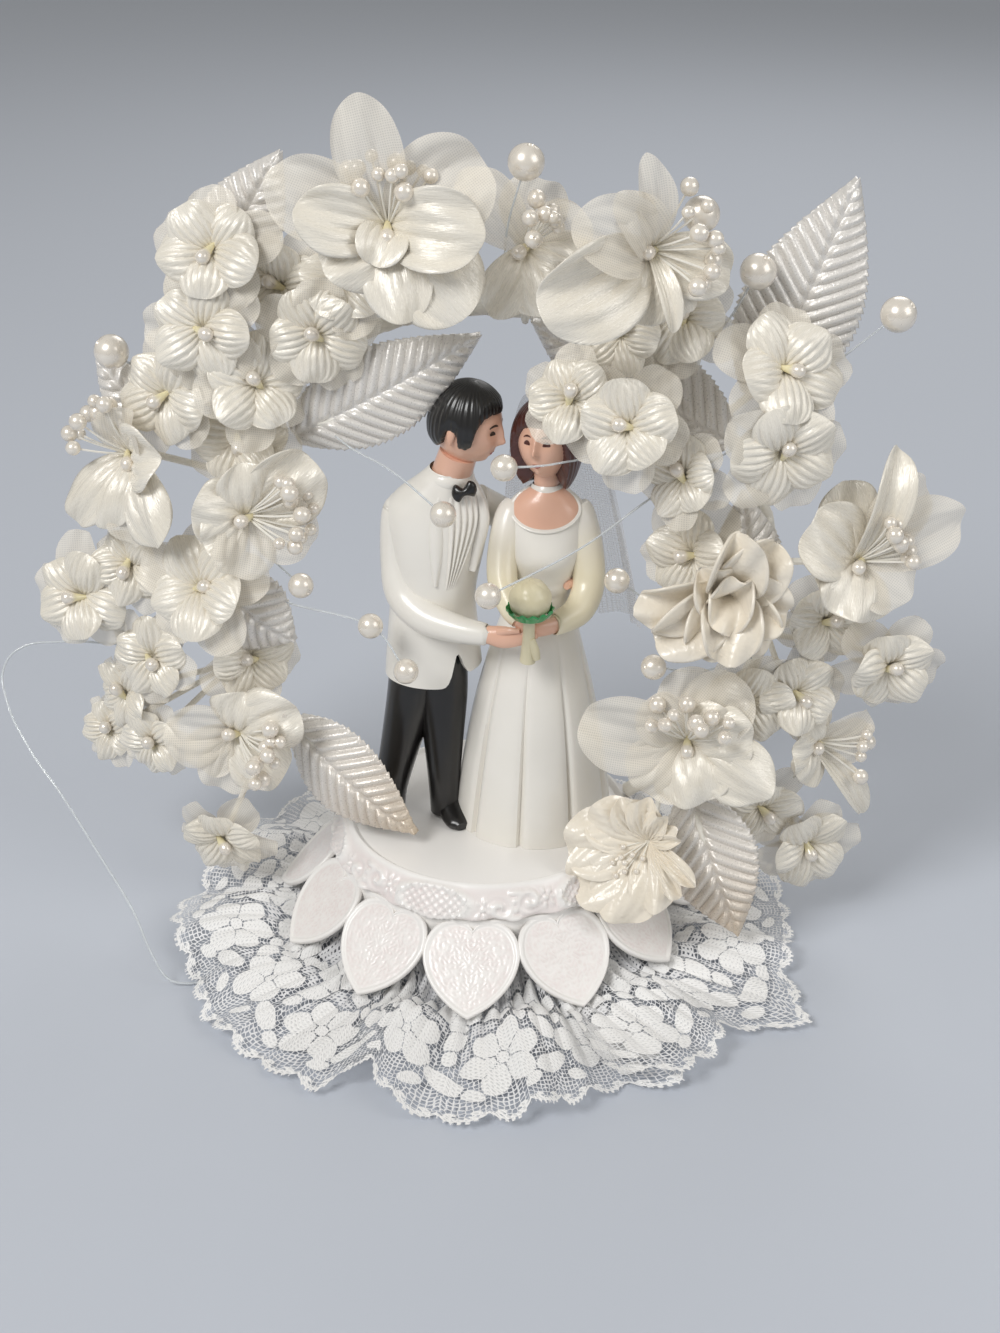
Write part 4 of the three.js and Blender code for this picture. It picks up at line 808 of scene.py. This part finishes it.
# Tulle is a net of very fine thread, drawn coarser here than it is: mostly clear, it greys what is
# behind it and shows white along its folds.
tulle = blank("white_nylon_tulle")
chart = add(tulle, "UVMap", {}, uv_map="map")
net = add(tulle, "TexVoronoi", {
    "Vector": chart, "Scale": 1 / VEIL_CELL, "Randomness": 0.15,
}, out="Distance", feature="DISTANCE_TO_EDGE", voronoi_dimensions="2D")
shade(tulle, {
    "Base Color": "#e9eaee", "Roughness": 0.6, "Sheen Weight": 0.3,
    "Alpha": add(tulle, "MapRange", {
        "Value": net, "From Min": 0.05, "From Max": 0.16, "To Min": 0.62, "To Max": 0.22,
    }),
})
gauze = sheet, 0, np.stack([VEIL_FLAT[0] * u, VEIL_FLAT[1] * v], -1)
veil = piece("veil", [gauze], [tulle], "bride_veil")


# Pearls: plastic beads dipped in pearl lacquer, each threaded on a stalk of clear nylon line.
# The stalk is tied to the hoop and springs about its knot.
PEARL_OUTER, PEARL_INNER, STALK_THICKNESS, BLOOM = 4, 3, 0.5, 2.5
PEARLS = [
    ("pearl_top", PEARL_OUTER, 3, [(3, 20, 12)], [(5, 37, 16)]),
    ("pearl_top_right", PEARL_OUTER, 28, [(28, 20, 4)], [(26, 38, 20)]),
    ("pearl_right_upper", PEARL_OUTER, 38, [(38, 18, 8)], [(36, 33, 14)]),
    ("pearl_right", PEARL_OUTER, 53, [(53, 24, 6)], [(51, 48, 14)]),
    ("pearl_left", PEARL_OUTER, -58, [(-57, 18, 6)], [(-55, 36, 14)]),
    ("pearl_before_bride", PEARL_INNER, 44, [(36, -16, 18), (22, -23, 29)], [(8, -26, 32)]),
    ("pearl_before_groom", PEARL_INNER, -46, [(-38, -16, 18), (-27, -25, 28)], [(-14.5, -37, 32)]),
    ("pearl_at_bouquet", PEARL_INNER, 58, [(52, -18, 18), (44, -35, 34)], [(12, -54, 39)]),
    ("pearl_bride_side", PEARL_INNER, 92, [(90, -22, 16)], [(71, -35, 22)]),
    ("pearl_skirt_side", PEARL_INNER, 106, [(104, -15, 20)], [(100, -27, 30)]),
    ("pearl_pair_groom_side", PEARL_INNER, -92, [(-89, -22, 20)], [(-93, -42, 26), (-121, -48, 31)]),
    ("pearl_left_inner", PEARL_INNER, -78, [(-78, -12, 12)], [(-80, -25, 24)]),
]


def bead(place, look, radius, columns):
    """A round bead with a small drilled dimple at each end of its hole."""
    polar = np.linspace(0.22, np.pi - 0.22, 12)
    ball = np.stack([np.sin(polar), -np.cos(polar)], -1)
    profile = np.concatenate([[(0, -0.8), (0.16, -0.9)], ball, [(0.16, 0.9), (0, 0.8)]]) * radius
    return lathe(profile, columns, place, basis(look, (0.3, 0.9, 0.2)))


# Pearl lacquer is a smooth coat over a cream bead, with mica flakes that give it a soft metallic bloom.
# Where a piece is marked it has only the straw-coloured wax of a drop's tail.
pearl, place, bloom, tint = clouded("cream_pearl_lacquer", BLOOM, "#e5dbcd", "#f5efe4", 1)
tail = add(pearl, "Attribute", {}, out="Fac", attribute_name="mark")
shade(pearl, {
    "Base Color": add(pearl, "Mix", {
        "Factor_Float": tail, "A_Color": tint, "B_Color": "#eadfb4",
    }, data_type="RGBA"),
    "IOR": 1.6, "Coat Weight": 0.7, "Coat Roughness": 0.06,
    "Metallic": add(pearl, "MapRange", {"Value": tail, "To Min": 0.3, "To Max": 0}),
    "Roughness": add(pearl, "MapRange", {"Value": bloom, "To Min": 0.22, "To Max": 0.34}),
})

for node, size, root, via, heads in PEARLS:
    path = np.array([on_hoop(root), *[on_hoop(*at) for at in (*via, *heads)]])
    keys = np.column_stack([path, np.full(len(path), STALK_THICKNESS / 2)])
    piece(node + "_stalk", [(tube(keys, 12 * len(path), 6),)], [nylon], body=node)
    beads = [(bead(path[k], path[k] - path[k - 1], size, 25),) for k in range(-len(heads), 0)]
    piece(node + "_bead", beads, [pearl], node, body=node)


# Sprays of blossoms: five domed petals of satin pressed into ribs over five of sheer organza, gathered
# round a pearl with a wax tail, on wrapped wires that are twisted together and bound to the hoop.
TWIST, WIRE_THICKNESS, PETALS = 5, 1.5, 5
SATIN_CLOUD, ORGANZA_THREAD = 11, 0.5
STREAKS = 2.2, 0.3, 1  # to a millimetre, across and along the threads
SPRAYS = [
    ("spray_top_left", -38, [(-35, 35, 18, 12.5, -10, 20), (-42, 24, 22, 11.7, -15, 10),
                             (-31, 20, 12, 11, 0, 20), (-22, 15, 13, 11, 10, 15)]),
    ("spray_left_upper", -54, [(-55, 20, 16, 12.5, -25, 10), (-55, 1, 14, 12.1, 0, 10)]),
    ("spray_inner_upper", -36, [(-43, 7, 20, 12.1, 10, 10), (-29, 8, 18, 12.1, 10, 10)]),
    ("spray_left", -94, [(-85, -2, 24, 13.2, 5, 15), (-105, -9, 17, 11, 5, 5)]),
    ("spray_far_left", -96, [(-91, 30, 14, 12.1, -25, -5), (-101, 14, 18, 10.7, -15, 10),
                             (-85, 17, 15, 9.9, -10, 10)]),
    ("spray_lower_left", -110, [(-108, 26, 12, 9.9, -30, 10), (-116, 24, 16, 9.9, -20, 0),
                                (-114, 38, 6, 8.5, -25, 10)]),
    ("blossom_low_left", -126, [(-135, 27, 16, 11, -10, -15)]),
    ("spray_over_bride", 36, [(20, -9.4, 24, 10.2, 5, 32), (33, -8, 27, 12.1, 0, 10),
                              (51, -9, 22, 9.9, -10, 5)]),
    ("spray_top_right", 30, [(32, 15, 13, 11, 0, 15), (24, 6, 15, 9.9, 0, 15)]),
    ("spray_right_upper", 69, [(47, 22, 20, 13.2, 5, 15), (56, 12, 24, 13.2, 5, 10)]),
    ("blossom_right_inner", 74, [(72, -17, 16, 11.2, -5, 10)]),
    ("spray_right", 98, [(97, 28, 14, 11.8, 25, -5), (104, 8, 18, 10.5, 15, 5), (91, 12, 12, 11, 15, 5)]),
    ("spray_right_lower", 124, [(128, 33, 14, 12.1, 20, -5), (126, 16, 19, 9.9, 10, 0)]),
    ("blossom_right_hip", 108, [(107, -2, 21, 10.5, 5, 10)]),
]
BLOSSOM_SATIN = dict(curl=80, cup=-0.22, rib=0.58, ruffle=0.6, foot=0.2, blunt=0.42, size=(43, 13))
BLOSSOM_SHEER = dict(curl=34, cup=0.05, rib=0.2, ribs=5, ruffle=0.9, foot=0.25, blunt=0.42, size=(17, 11))
DROP = [
    (0.25, -3.4), (0.4, -2.4), (0.7, -1), (1, 0.2), (1.15, 0.8), (1.5, 1.5), (1.65, 2.3), (1.45, 3.2),
    (0.9, 3.8), (0, 4),
]
WAX = np.array([1, 1, 1, 1, 0.7, 0, 0, 0, 0, 0])[:, None]
draw = np.random.default_rng(7)


def facing(yaw, pitch):
    """The axes of a flower that looks yaw degrees to the right of the front and pitch degrees up."""
    yaw, pitch = np.radians(yaw), np.radians(pitch)
    look = np.array([np.sin(yaw) * np.cos(pitch), -np.cos(yaw) * np.cos(pitch), np.sin(pitch)])
    return basis(look, (np.cos(yaw), np.sin(yaw), 0))


def petal(place, axes, angle, length, width, lift, curl=40, cup=0.1, blunt=0.5, rib=0, ribs=7, ruffle=0,
          foot=0.3, size=(25, 25)):
    """The patch of a petal in its flower's axes. Its half width swells from the foot as a quarter sine and
    closes at the tip as a power of an ellipse. Its middle follows an arc that leaves the throat steeply and
    bends back by curl degrees. Across, it cups as a square, with rounded ribs between sharp creases, and its
    outer part ruffles as a sine of random phase."""
    side, along = grid(*size)
    t, s = 2 * side - 1, np.sin(np.pi / 2 * along)
    widest, phase = 0.6, draw.uniform(0, 2 * np.pi)
    swell = foot + (1 - foot) * np.sin(np.pi / 2 * np.clip(s / widest, 0, 1))
    tip = np.clip(1 - (np.clip(s - widest, 0, 1) / (1 - widest)) ** 2, 0, 1) ** blunt
    share = swell * tip
    half = width / 2 * share * (1 + 0.05 * np.sin(5 * t + phase))
    start, bend = np.radians(lift + curl / 2), -np.radians(curl)
    slope = start + bend * s
    out = length * (np.sin(slope) - np.sin(start)) / bend
    up = length * (np.cos(start) - np.cos(slope)) / bend
    rise = cup * width * (t * share) ** 2 + ruffle * s ** 2 * np.sin(5 * t * share + 3.8 * s + phase)
    crease = np.abs(np.cos(np.pi / 2 * ribs * (t + 0.06 * np.sin(4 * s + phase))))
    rise += rib * crease * np.sin(np.pi * s ** 0.8) * tip
    x, z = out - rise * np.sin(slope), up + rise * np.cos(slope)
    c, d = np.cos(np.radians(angle)), np.sin(np.radians(angle))
    spots = points(x * c - half * t * d, x * d + half * t * c, z)
    return place + spots @ axes, 0, np.stack([half * t, length * s], -1)


# Satin is a smooth close weave of bright acetate: it shines in soft streaks along its threads.
satin, place, cloud, tint = clouded("ivory_acetate_satin", SATIN_CLOUD, "#e4dccb", "#f4efe4")
chart = add(satin, "UVMap", {}, uv_map="map")
drawn = add(satin, "VectorMath", {"Vector": chart, "Vector_001": STREAKS}, operation="MULTIPLY")
streak = add(satin, "TexNoise", {"Vector": drawn, "Scale": 1, "Detail": 3, "Roughness": 0.6})
shade(satin, {
    "Base Color": tint, "Sheen Weight": 0.25, "Sheen Roughness": 0.35, "Specular IOR Level": 0.85,
    "Metallic": 0.08, "Anisotropic": 0.6,
    "Tangent": add(satin, "Tangent", {}, direction_type="UV_MAP", uv_map="map"),
    "Roughness": add(satin, "MapRange", {
        "Value": streak, "From Min": 0.3, "From Max": 0.7, "To Min": 0.2, "To Max": 0.38,
    }),
    "Normal": add(satin, "Bump", {"Height": streak, "Strength": 0.68, "Distance": 0.35 * MM}),
})

# Organza is a stiff open weave of fine twisted threads, drawn coarser here than it is, so that it shows.
organza = blank("ivory_organza")
chart = add(organza, "UVMap", {}, uv_map="map")
threads = {"Vector": chart, "Scale": WAVE / ORGANZA_THREAD, "Distortion": 1.2}
warp = add(organza, "TexWave", threads, out="Fac")
weft = add(organza, "TexWave", threads, out="Fac", bands_direction="Y")
weave = add(organza, "Math", {"Value": warp, "Value_001": weft}, operation="MAXIMUM")
shade(organza, {
    "Base Color": "#efe8da", "Roughness": 0.5, "Sheen Weight": 0.3, "Sheen Roughness": 0.4,
    "Alpha": add(organza, "MapRange", {"Value": weave, "To Min": 0.5, "To Max": 0.7}),
    "Normal": add(organza, "Bump", {"Height": weave, "Strength": 0.25, "Distance": 0.1 * MM}),
})


def wire(place, look, root):
    """The patch of a wrapped wire that leaves a flower's back, bends to its root and ends at the hoop."""
    ends = [place - 0.5 * look, place - 4 * look, on_hoop(root, 0, TWIST), on_hoop(root, 0, 1)]
    return tube(np.column_stack([ends, np.full(4, WIRE_THICKNESS / 2)]), 14, 7), 1


def drop(place, axes, aim):
    """The patch of a pearl drop with its wax tail, which leans out of a throat at an angle round it."""
    lean = 0.75 * axes[2] + np.cos(aim) * axes[0] + np.sin(aim) * axes[1]
    return lathe(DROP, 13, place + 2.6 * axes[2], basis(lean, axes[0] + 0.5 * axes[2])), 0, 0, WAX


for node, root, heads in SPRAYS:
    cloth, sheer, drops = [], [], []
    for clock, out, fore, radius, yaw, pitch in heads:
        place, axes = on_hoop(clock, out, fore), facing(yaw + draw.normal(0, 10), pitch + draw.normal(0, 8))
        first, wide = draw.uniform(0, 360 / PETALS), 0.98 * radius
        for angle in first + 360 / PETALS * np.arange(PETALS):
            long = radius * draw.uniform(0.98, 1.16)
            askew, lift = draw.normal(0, 5), 18 + draw.normal(0, 8)
            cloth.append(petal(place, axes, angle + askew, long, wide, lift, **BLOSSOM_SATIN))
            back, lift = place - 0.9 * axes[2], 2 + draw.normal(0, 7)
            sheer.append(petal(back, axes, angle + 180 / PETALS, 1.14 * long, wide, lift, **BLOSSOM_SHEER))
        drops.append(drop(place, axes, draw.uniform(0, 2 * np.pi)))
        cloth.append(wire(place, axes[2], root))
    piece(node + "_cloth", cloth, [satin, tape], node)
    piece(node + "_sheer", sheer, [organza])
    piece(node + "_drops", drops, [pearl])


# Large flowers: pressed petals of satin and of sheer organza, wired one by one round a bundle of
# pearl-tipped stamens with a pearl drop in the throat, on wrapped wires bound to the hoop.
STAMEN_THICKNESS, STAMEN_HEAD, STAMEN_LENGTH, PETAL_THICKNESS = 0.5, 1.7, 15, 0.25
# A flower has its place, yaw, pitch and root, and its stamens' aim, climb, spread and count. A petal has
# its angle, length, width and lift, s for satin or o for organza, its curl and its cup and, where it isn't
# 0.5, the power that blunts its tip.
ORCHIDS = [
    ("orchid_top_left", (-12, 26, 24), 5, 15, -12, (90, 28, 44, 12), [
        (103, 30, 15, 20, "o", 50, 0.12), (35, 26, 22, 10, "o", 45, 0.1), (158, 28, 18, 10, "o", 40, 0.1),
        (-3, 24, 18, 24, "s", 75, 0.2), (-48, 26, 21, 15, "s", 35, -0.08, 0.45),
        (-78, 22, 15, 20, "s", 50, -0.1), (215, 18, 17, 22, "s", 60, -0.12),
        (170, 22, 15, 24, "s", 50, 0.14, 0.6), (250, 12, 11, 40, "s", 90, 0.2)]),
    ("orchid_top_right", (22, 27, 22), 25, 10, 20, (5, 45, 60, 11), [
        (201, 31, 21, 12, "s", 45, 0.2), (158, 25, 17, 20, "o", 80, 0.2, 0.6),
        (128, 20, 11, 25, "o", 95, 0.25, 0.7), (101, 24, 9, 25, "o", 55, 0.25, 0.8),
        (-22, 19, 14, 22, "s", 40, 0.12), (-58, 16, 14, 15, "s", 60, -0.1),
        (250, 17, 16, 15, "s", 60, -0.1), (-84, 20, 5, 25, "s", 70, 0.3, 0.6)]),
    ("orchid_left", (-67, 21, 14), -28, 10, -66, (134, 30, 42, 11), [
        (76, 15, 14, 30, "o", 40, 0.2), (112, 15, 9, 25, "o", 50, 0.15),
        (264, 20, 14, 22, "s", 80, -0.14, 0.6), (309, 25, 15, 16, "s", 60, -0.14),
        (237, 24, 13, 20, "s", 70, -0.12, 0.7), (287, 22, 14, 14, "o", 50, 0.1),
        (15, 16, 16, 28, "s", 60, 0.15)]),
    ("orchid_inner_left", (-66, -8, 23), 25, 5, -68, (5, 40, 50, 12), [
        (38, 21, 19, 15, "s", 30, 0.1, 0.4), (-24, 18, 16, 15, "o", 35, 0.06, 0.8),
        (88, 15, 15, 20, "s", 50, -0.1), (165, 14, 16, 12, "s", 60, -0.14),
        (255, 15, 15, 15, "o", 45, 0.08), (210, 13, 13, 15, "s", 60, -0.12)]),
    ("orchid_lower_left", (-118, 0, 24), 8, 5, -116, (-15, 45, 50, 11), [
        (28, 21, 18, 25, "s", 75, -0.2), (72, 15, 17, 25, "s", 80, -0.2),
        (172, 18, 17, 15, "o", 40, 0.08), (255, 16, 15, 12, "o", 35, 0.06),
        (-50, 17, 17, 20, "s", 50, -0.08), (215, 14, 14, 12, "o", 40, 0.06)]),
    ("orchid_right", (80, 19, 16), 25, 20, 82, (35, 40, 45, 11), [
        (142, 18, 19, 14, "s", 35, 0.12, 0.42), (98, 20, 16, 10, "s", 45, -0.1, 0.45),
        (72, 31, 10, 18, "s", 80, 0.3, 0.7), (19, 28, 16, 15, "o", 40, 0.08, 0.7),
        (46, 25, 14, 10, "o", 35, 0.06), (250, 15, 20, 20, "s", 45, -0.08),
        (-45, 15, 17, 20, "o", 45, 0.06), (205, 13, 13, 12, "s", 50, -0.1)]),
    ("orchid_lower_right", (119, -12, 28), 0, 15, 118, (90, 45, 65, 12), [
        (170, 27, 19, 12, "o", 45, 0.1), (132, 16, 14, 20, "o", 45, 0.1),
        (228, 17, 18, 15, "o", 50, 0.06), (12, 18, 17, 20, "s", 75, -0.18),
        (45, 15, 14, 25, "s", 80, -0.2), (-75, 17, 19, 22, "s", 70, -0.16),
        (-27, 24, 17, 14, "s", 50, -0.1), (86, 19, 16, 8, "o", 40, 0.1), (56, 21, 18, 12, "o", 40, 0.1)]),
    ("orchid_far_right", (113, 18, 14), 45, 0, 112, (0, 50, 45, 6), [
        (38, 16, 14, 35, "o", 40, 0.1), (0, 15, 13, 30, "o", 35, 0.1), (175, 12, 15, 20, "s", 85, -0.2),
        (110, 11, 13, 25, "s", 85, -0.2), (-58, 29, 7, 14, "s", 40, 0.3, 0.7),
        (240, 12, 13, 20, "s", 70, -0.14)]),
    ("orchid_top_middle", (6, 17, 10), 0, 20, 7, (44, 60, 36, 9), [
        (20, 16, 15, 15, "o", 45, 0.1), (80, 16, 15, 5, "o", 45, 0.1), (134, 22, 14, 10, "o", 45, 0.1),
        (246, 18, 12, 15, "s", 60, -0.14), (290, 17, 15, 15, "s", 60, -0.14),
        (335, 17, 15, 15, "s", 60, -0.14)]),
]


def stiffen(cloth, thickness):
    """Gives a cloth piece its thickness, half to each side."""
    layer = cloth.modifiers.new("cloth", "SOLIDIFY")
    layer.thickness, layer.offset = thickness * MM, 0


for node, at, yaw, pitch, root, (aim, climb, spread, count), petals in ORCHIDS:
    place, axes = on_hoop(*at), facing(yaw, pitch)
    cloth, sheer, beads = [wire(place, axes[2], root)], [], [drop(place, axes, np.radians(aim + 180))]
    for angle, long, wide, lift, kind, *bend in petals:
        press = dict(rib=0.045 * wide, ribs=5, ruffle=0.09 * wide, foot=0.28)
        patch = petal(place, axes, angle, long, wide, lift, *bend, **press)
        (cloth if kind == "s" else sheer).append(patch)
    for fan in 0.9 * np.linspace(-spread, spread, count):
        swing = np.radians(aim + fan + draw.normal(0, 5))
        lean = np.radians(climb + draw.uniform(-22, 22))
        long = STAMEN_LENGTH * draw.uniform(0.8, 1.08)
        way = long * np.array([np.cos(swing) * np.cos(lean), np.sin(swing) * np.cos(lean), np.sin(lean)])
        tip, bow = place + way @ axes, place + (0.5 * way + (0, 0, 1.2)) @ axes
        beads.append((tube([(*at, STAMEN_THICKNESS / 2) for at in (place, bow, tip)], 8, 5), 1))
        beads.append((bead(tip, tip - bow, STAMEN_HEAD * draw.uniform(0.8, 1.25), 13),))
    stiffen(piece(node + "_cloth", cloth, [satin, tape], node), PETAL_THICKNESS)
    piece(node + "_sheer", sheer, [organza])
    piece(node + "_stamens", beads, [pearl, tape])


# Cream flowers: a half-open rose whose satin petals are rolled in at the edge, and a flower of broad
# crinkled velvet petals round a few small pearls. Both are wired like the others.
ROSE = [
    (186, 23, 13, 16, 0.2), (212, 22, 14, 22, 0.24), (242, 17, 14, 28, 0.2), (272, 19, 14, 40, 0.3),
    (310, 17, 15, 26, 0.2), (352, 17, 15, 28, 0.2), (54, 20, 15, 24, 0.22), (84, 22, 13, 34, 0.28),
    (132, 14, 13, 42, 0.2), (262, 14, 10, 58, 0.4), (70, 14, 10, 56, 0.4),
]
VELVET = [
    (162, 17, 14, 20), (192, 21, 18, 11), (224, 23, 19, 8), (254, 22, 18, 10), (284, 18, 12, 16),
    (308, 17, 6, 22), (328, 18, 5, 26), (20, 11, 6, 38), (70, 12, 7, 45), (98, 14, 9, 38), (128, 14, 10, 30),
]
ROSE_PLACE, ROSE_LOOK, ROSE_ROOT, ROSE_THICKNESS = (79, -11, 25), (5, 5), 86, 0.6
VELVET_PLACE, VELVET_LOOK, VELVET_ROOT = (141.5, -2, 34), (-10, 25), 140
ROSE_PRESS = dict(curl=70, ruffle=2.2, foot=0.35, blunt=0.45)
VELVET_PRESS = dict(curl=45, cup=-0.03, rib=0.55, ruffle=1.9, foot=0.22, size=(33, 25))
SEED_COUNT, SEED_RADIUS, SEED_WIRE = 9, 0.75, 0.2
CREAM_CLOUD = 8
CRUSHES = 0.6  # to a millimetre

# Cream satin and velvet differ from the ivory satin in tint and in how much of the light they catch.
cream_satin, place, cloud, tint = clouded("cream_acetate_satin", CREAM_CLOUD, "#e9dfcc", "#f4ecde")
chart = add(cream_satin, "UVMap", {}, uv_map="map")
crush = add(cream_satin, "TexNoise", {"Vector": chart, "Scale": CRUSHES, "Detail": 2, "Distortion": 0.6})
shade(cream_satin, {
    "Base Color": tint, "Roughness": 0.27, "Specular IOR Level": 0.7, "Sheen Weight": 0.2,
    "Sheen Roughness": 0.5,
    "Normal": add(cream_satin, "Bump", {"Height": crush, "Strength": 0.5, "Distance": 0.5 * MM}),
})

place, axes = on_hoop(*ROSE_PLACE), facing(*ROSE_LOOK)
cloth = [wire(place, axes[2], ROSE_ROOT)]
for *form, cup in ROSE:
    cloth.append(petal(place, axes, *form, cup=1.3 * cup, **ROSE_PRESS))
stiffen(piece("satin_rose_cloth", cloth, [cream_satin, tape], "satin_rose"), ROSE_THICKNESS)

place, axes = on_hoop(*VELVET_PLACE), facing(*VELVET_LOOK)
cloth, beads = [wire(place, axes[2], VELVET_ROOT)], []
for form in VELVET:
    cloth.append(petal(place, axes, *form, **VELVET_PRESS))
for k in range(SEED_COUNT):
    swing, far = 2.4 * k, 1.5 * np.sqrt(k)
    way = np.array([far * np.cos(swing) - 4.5, far * np.sin(swing) - 5.5, 4 + draw.uniform(0, 1.5)])
    tip = place + way @ axes
    beads.append((bead(tip, axes[2], SEED_RADIUS, 11),))
    beads.append((tube([(*place, SEED_WIRE), (*tip, SEED_WIRE)], 3, 5), 1))
piece("velvet_blossom_cloth", cloth, [cream_satin, tape], "velvet_blossom")
piece("velvet_blossom_beads", beads, [pearl, tape])


# Leaves: white satin stiffened and pressed hot between dies, which leave a sunk midrib, herringbone veins
# and a toothed edge. A wire glued behind the midrib binds each to the hoop.
LEAF_THICKNESS, LEAF_WIRE, LEAF_BOW, VEIN_PITCH, VEIN_DEPTH, MIDRIB = 0.3, 0.75, 3, 3.2, 1.05, 0.9
LEAF_GRAINS = 2.2  # to a millimetre
LEAVES = [
    ("leaf_inner_left", (-47, -8, 15), (-1, -3, 13), 22, -48),
    ("leaf_right_top", (51, 11, 6), (38.7, 60, 6), 27, 51),
    ("leaf_top_left", (-39.5, 30, 6), (-24, 45, 6), 19, -40),
    ("leaf_right_inner", (55, 0, 6), (8.5, 0, 9), 25, 56),
    ("leaf_left_middle", (-88, -6, 17), (-102, -21, 20), 21, -94),
    ("leaf_lower_left", (-125, -10, 18), (-163.5, -10, 31), 21, -124),
    ("leaf_lower_right", (131, -1, 26), (140.6, 32, 36), 23, 130),
    ("leaf_right_middle", (88, -5, 8), (64, -2, 13), 16, 90),
    ("leaf_left_upper", (-64, 18, 4), (-59, 40, 4), 14, -62),
]
YELLOWED = "leaf_lower_left", "leaf_lower_right"

# Leaf satin is brighter and colder than that of the petals, and the hot die has left it as shiny as foil.
# With age the two lowest leaves have gone beige toward the tip, where they are marked.
leaf_satin = blank("white_pressed_satin")
chart = add(leaf_satin, "UVMap", {}, uv_map="map")
aged = add(leaf_satin, "Attribute", {}, out="Fac", attribute_name="mark")
grain = add(leaf_satin, "TexNoise", {"Vector": chart, "Scale": LEAF_GRAINS, "Detail": 3, "Roughness": 0.6})
shade(leaf_satin, {
    "Base Color": add(leaf_satin, "Mix", {
        "Factor_Float": aged, "A_Color": "#e6e2dc", "B_Color": "#d0bfa9",
    }, data_type="RGBA"),
    "Metallic": 0.25, "Specular IOR Level": 0.8,
    "Roughness": add(leaf_satin, "MapRange", {"Value": grain, "To Min": 0.18, "To Max": 0.42}),
    "Normal": add(leaf_satin, "Bump", {"Height": grain, "Strength": 0.6, "Distance": 0.2 * MM}),
})

side, along = grid(61, 181)
t = 2 * side - 1
for node, foot, tip, wide, root in LEAVES:
    start, way = on_hoop(*foot), on_hoop(*tip) - on_hoop(*foot)
    long = np.linalg.norm(way)
    right = np.cross(way, (0, -1, 0))
    right /= np.linalg.norm(right)
    front = np.cross(right, way / long)
    half = wide / 2 * np.sin(np.pi * (0.06 + 0.93 * along) ** 0.85)
    teeth = along * long / VEIN_PITCH
    half *= 1 + 0.07 * np.abs(t) ** 6 * (0.5 - (2 * teeth) % 1) * (along < 0.97)
    across = np.abs(t) * half
    press = np.clip(across / 1.2, 0, 1) * np.clip(10 * (1 - np.abs(t)), 0.3, 1)
    crest = 1 - np.abs(2 * ((teeth - 0.8 * across / VEIN_PITCH) % 1) - 1) ** 1.6
    rise = LEAF_BOW * (np.sin(np.pi * along) - 0.8 * t ** 2) + VEIN_DEPTH * (crest - 0.6) * press
    rise -= MIDRIB * np.exp(-((across / 0.9) ** 2))
    spots = start + along[..., None] * way + (half * t)[..., None] * right + rise[..., None] * front
    back = start + 0.12 * way - 0.5 * front
    glued = start + 0.5 * way
    stalk = tube([(*glued, 0.4), (*back, LEAF_WIRE), (*on_hoop(root, 0, 1), LEAF_WIRE)], 14, 7)
    blade = spots, 0, np.stack([half * t, along * long], -1), along ** 2 if node in YELLOWED else 0.0
    stiffen(piece(node + "_cloth", [blade, (stalk, 1)], [leaf_satin, tape], node), LEAF_THICKNESS)


# Floor and light: a plain pale floor, a large soft lamp above the left of the camera, a weaker one on the
# right and one behind, under an even pale sky.
FLOOR_CORNERS = [(-3, -3, 0), (3, -3, 0), (3, 6, 0), (-3, 6, 0)]
LAMPS = [
    ("key", (-0.55, -0.75, 0.95), 9.0, 0.5), ("fill", (0.8, -0.4, 0.6), 2.5, 0.6),
    ("rim", (0.2, 0.9, 0.8), 2.5, 0.6),
]
LAMP_TARGET = np.array((0, 0, 0.08))

floor_paint = blank("pale_floor")
shade(floor_paint, {"Base Color": "#c2c7d0", "Roughness": 0.9})
ground = bpy.data.meshes.new("ground")
ground.from_pydata(FLOOR_CORNERS, [], [(0, 1, 2, 3)])
ground.materials.append(floor_paint)
floor = bpy.data.objects.new("floor", ground)
bpy.context.collection.objects.link(floor)

for name, place, power, size in LAMPS:
    lamp = bpy.data.objects.new(name, bpy.data.lights.new(name, "AREA"))
    lamp.data.energy, lamp.data.size = power, size
    lamp.location = place
    x, y, z = LAMP_TARGET - place
    lamp.rotation_euler = (np.arctan2(np.hypot(x, y), -z), 0, np.arctan2(y, x) - np.pi / 2)
    bpy.context.collection.objects.link(lamp)
sky = bpy.data.worlds.new("studio")
sky.use_nodes = True
sky.node_tree.nodes["Background"].inputs["Color"].default_value = linear("#ecebe8")
sky.node_tree.nodes["Background"].inputs["Strength"].default_value = 0.42
bpy.context.scene.world = sky
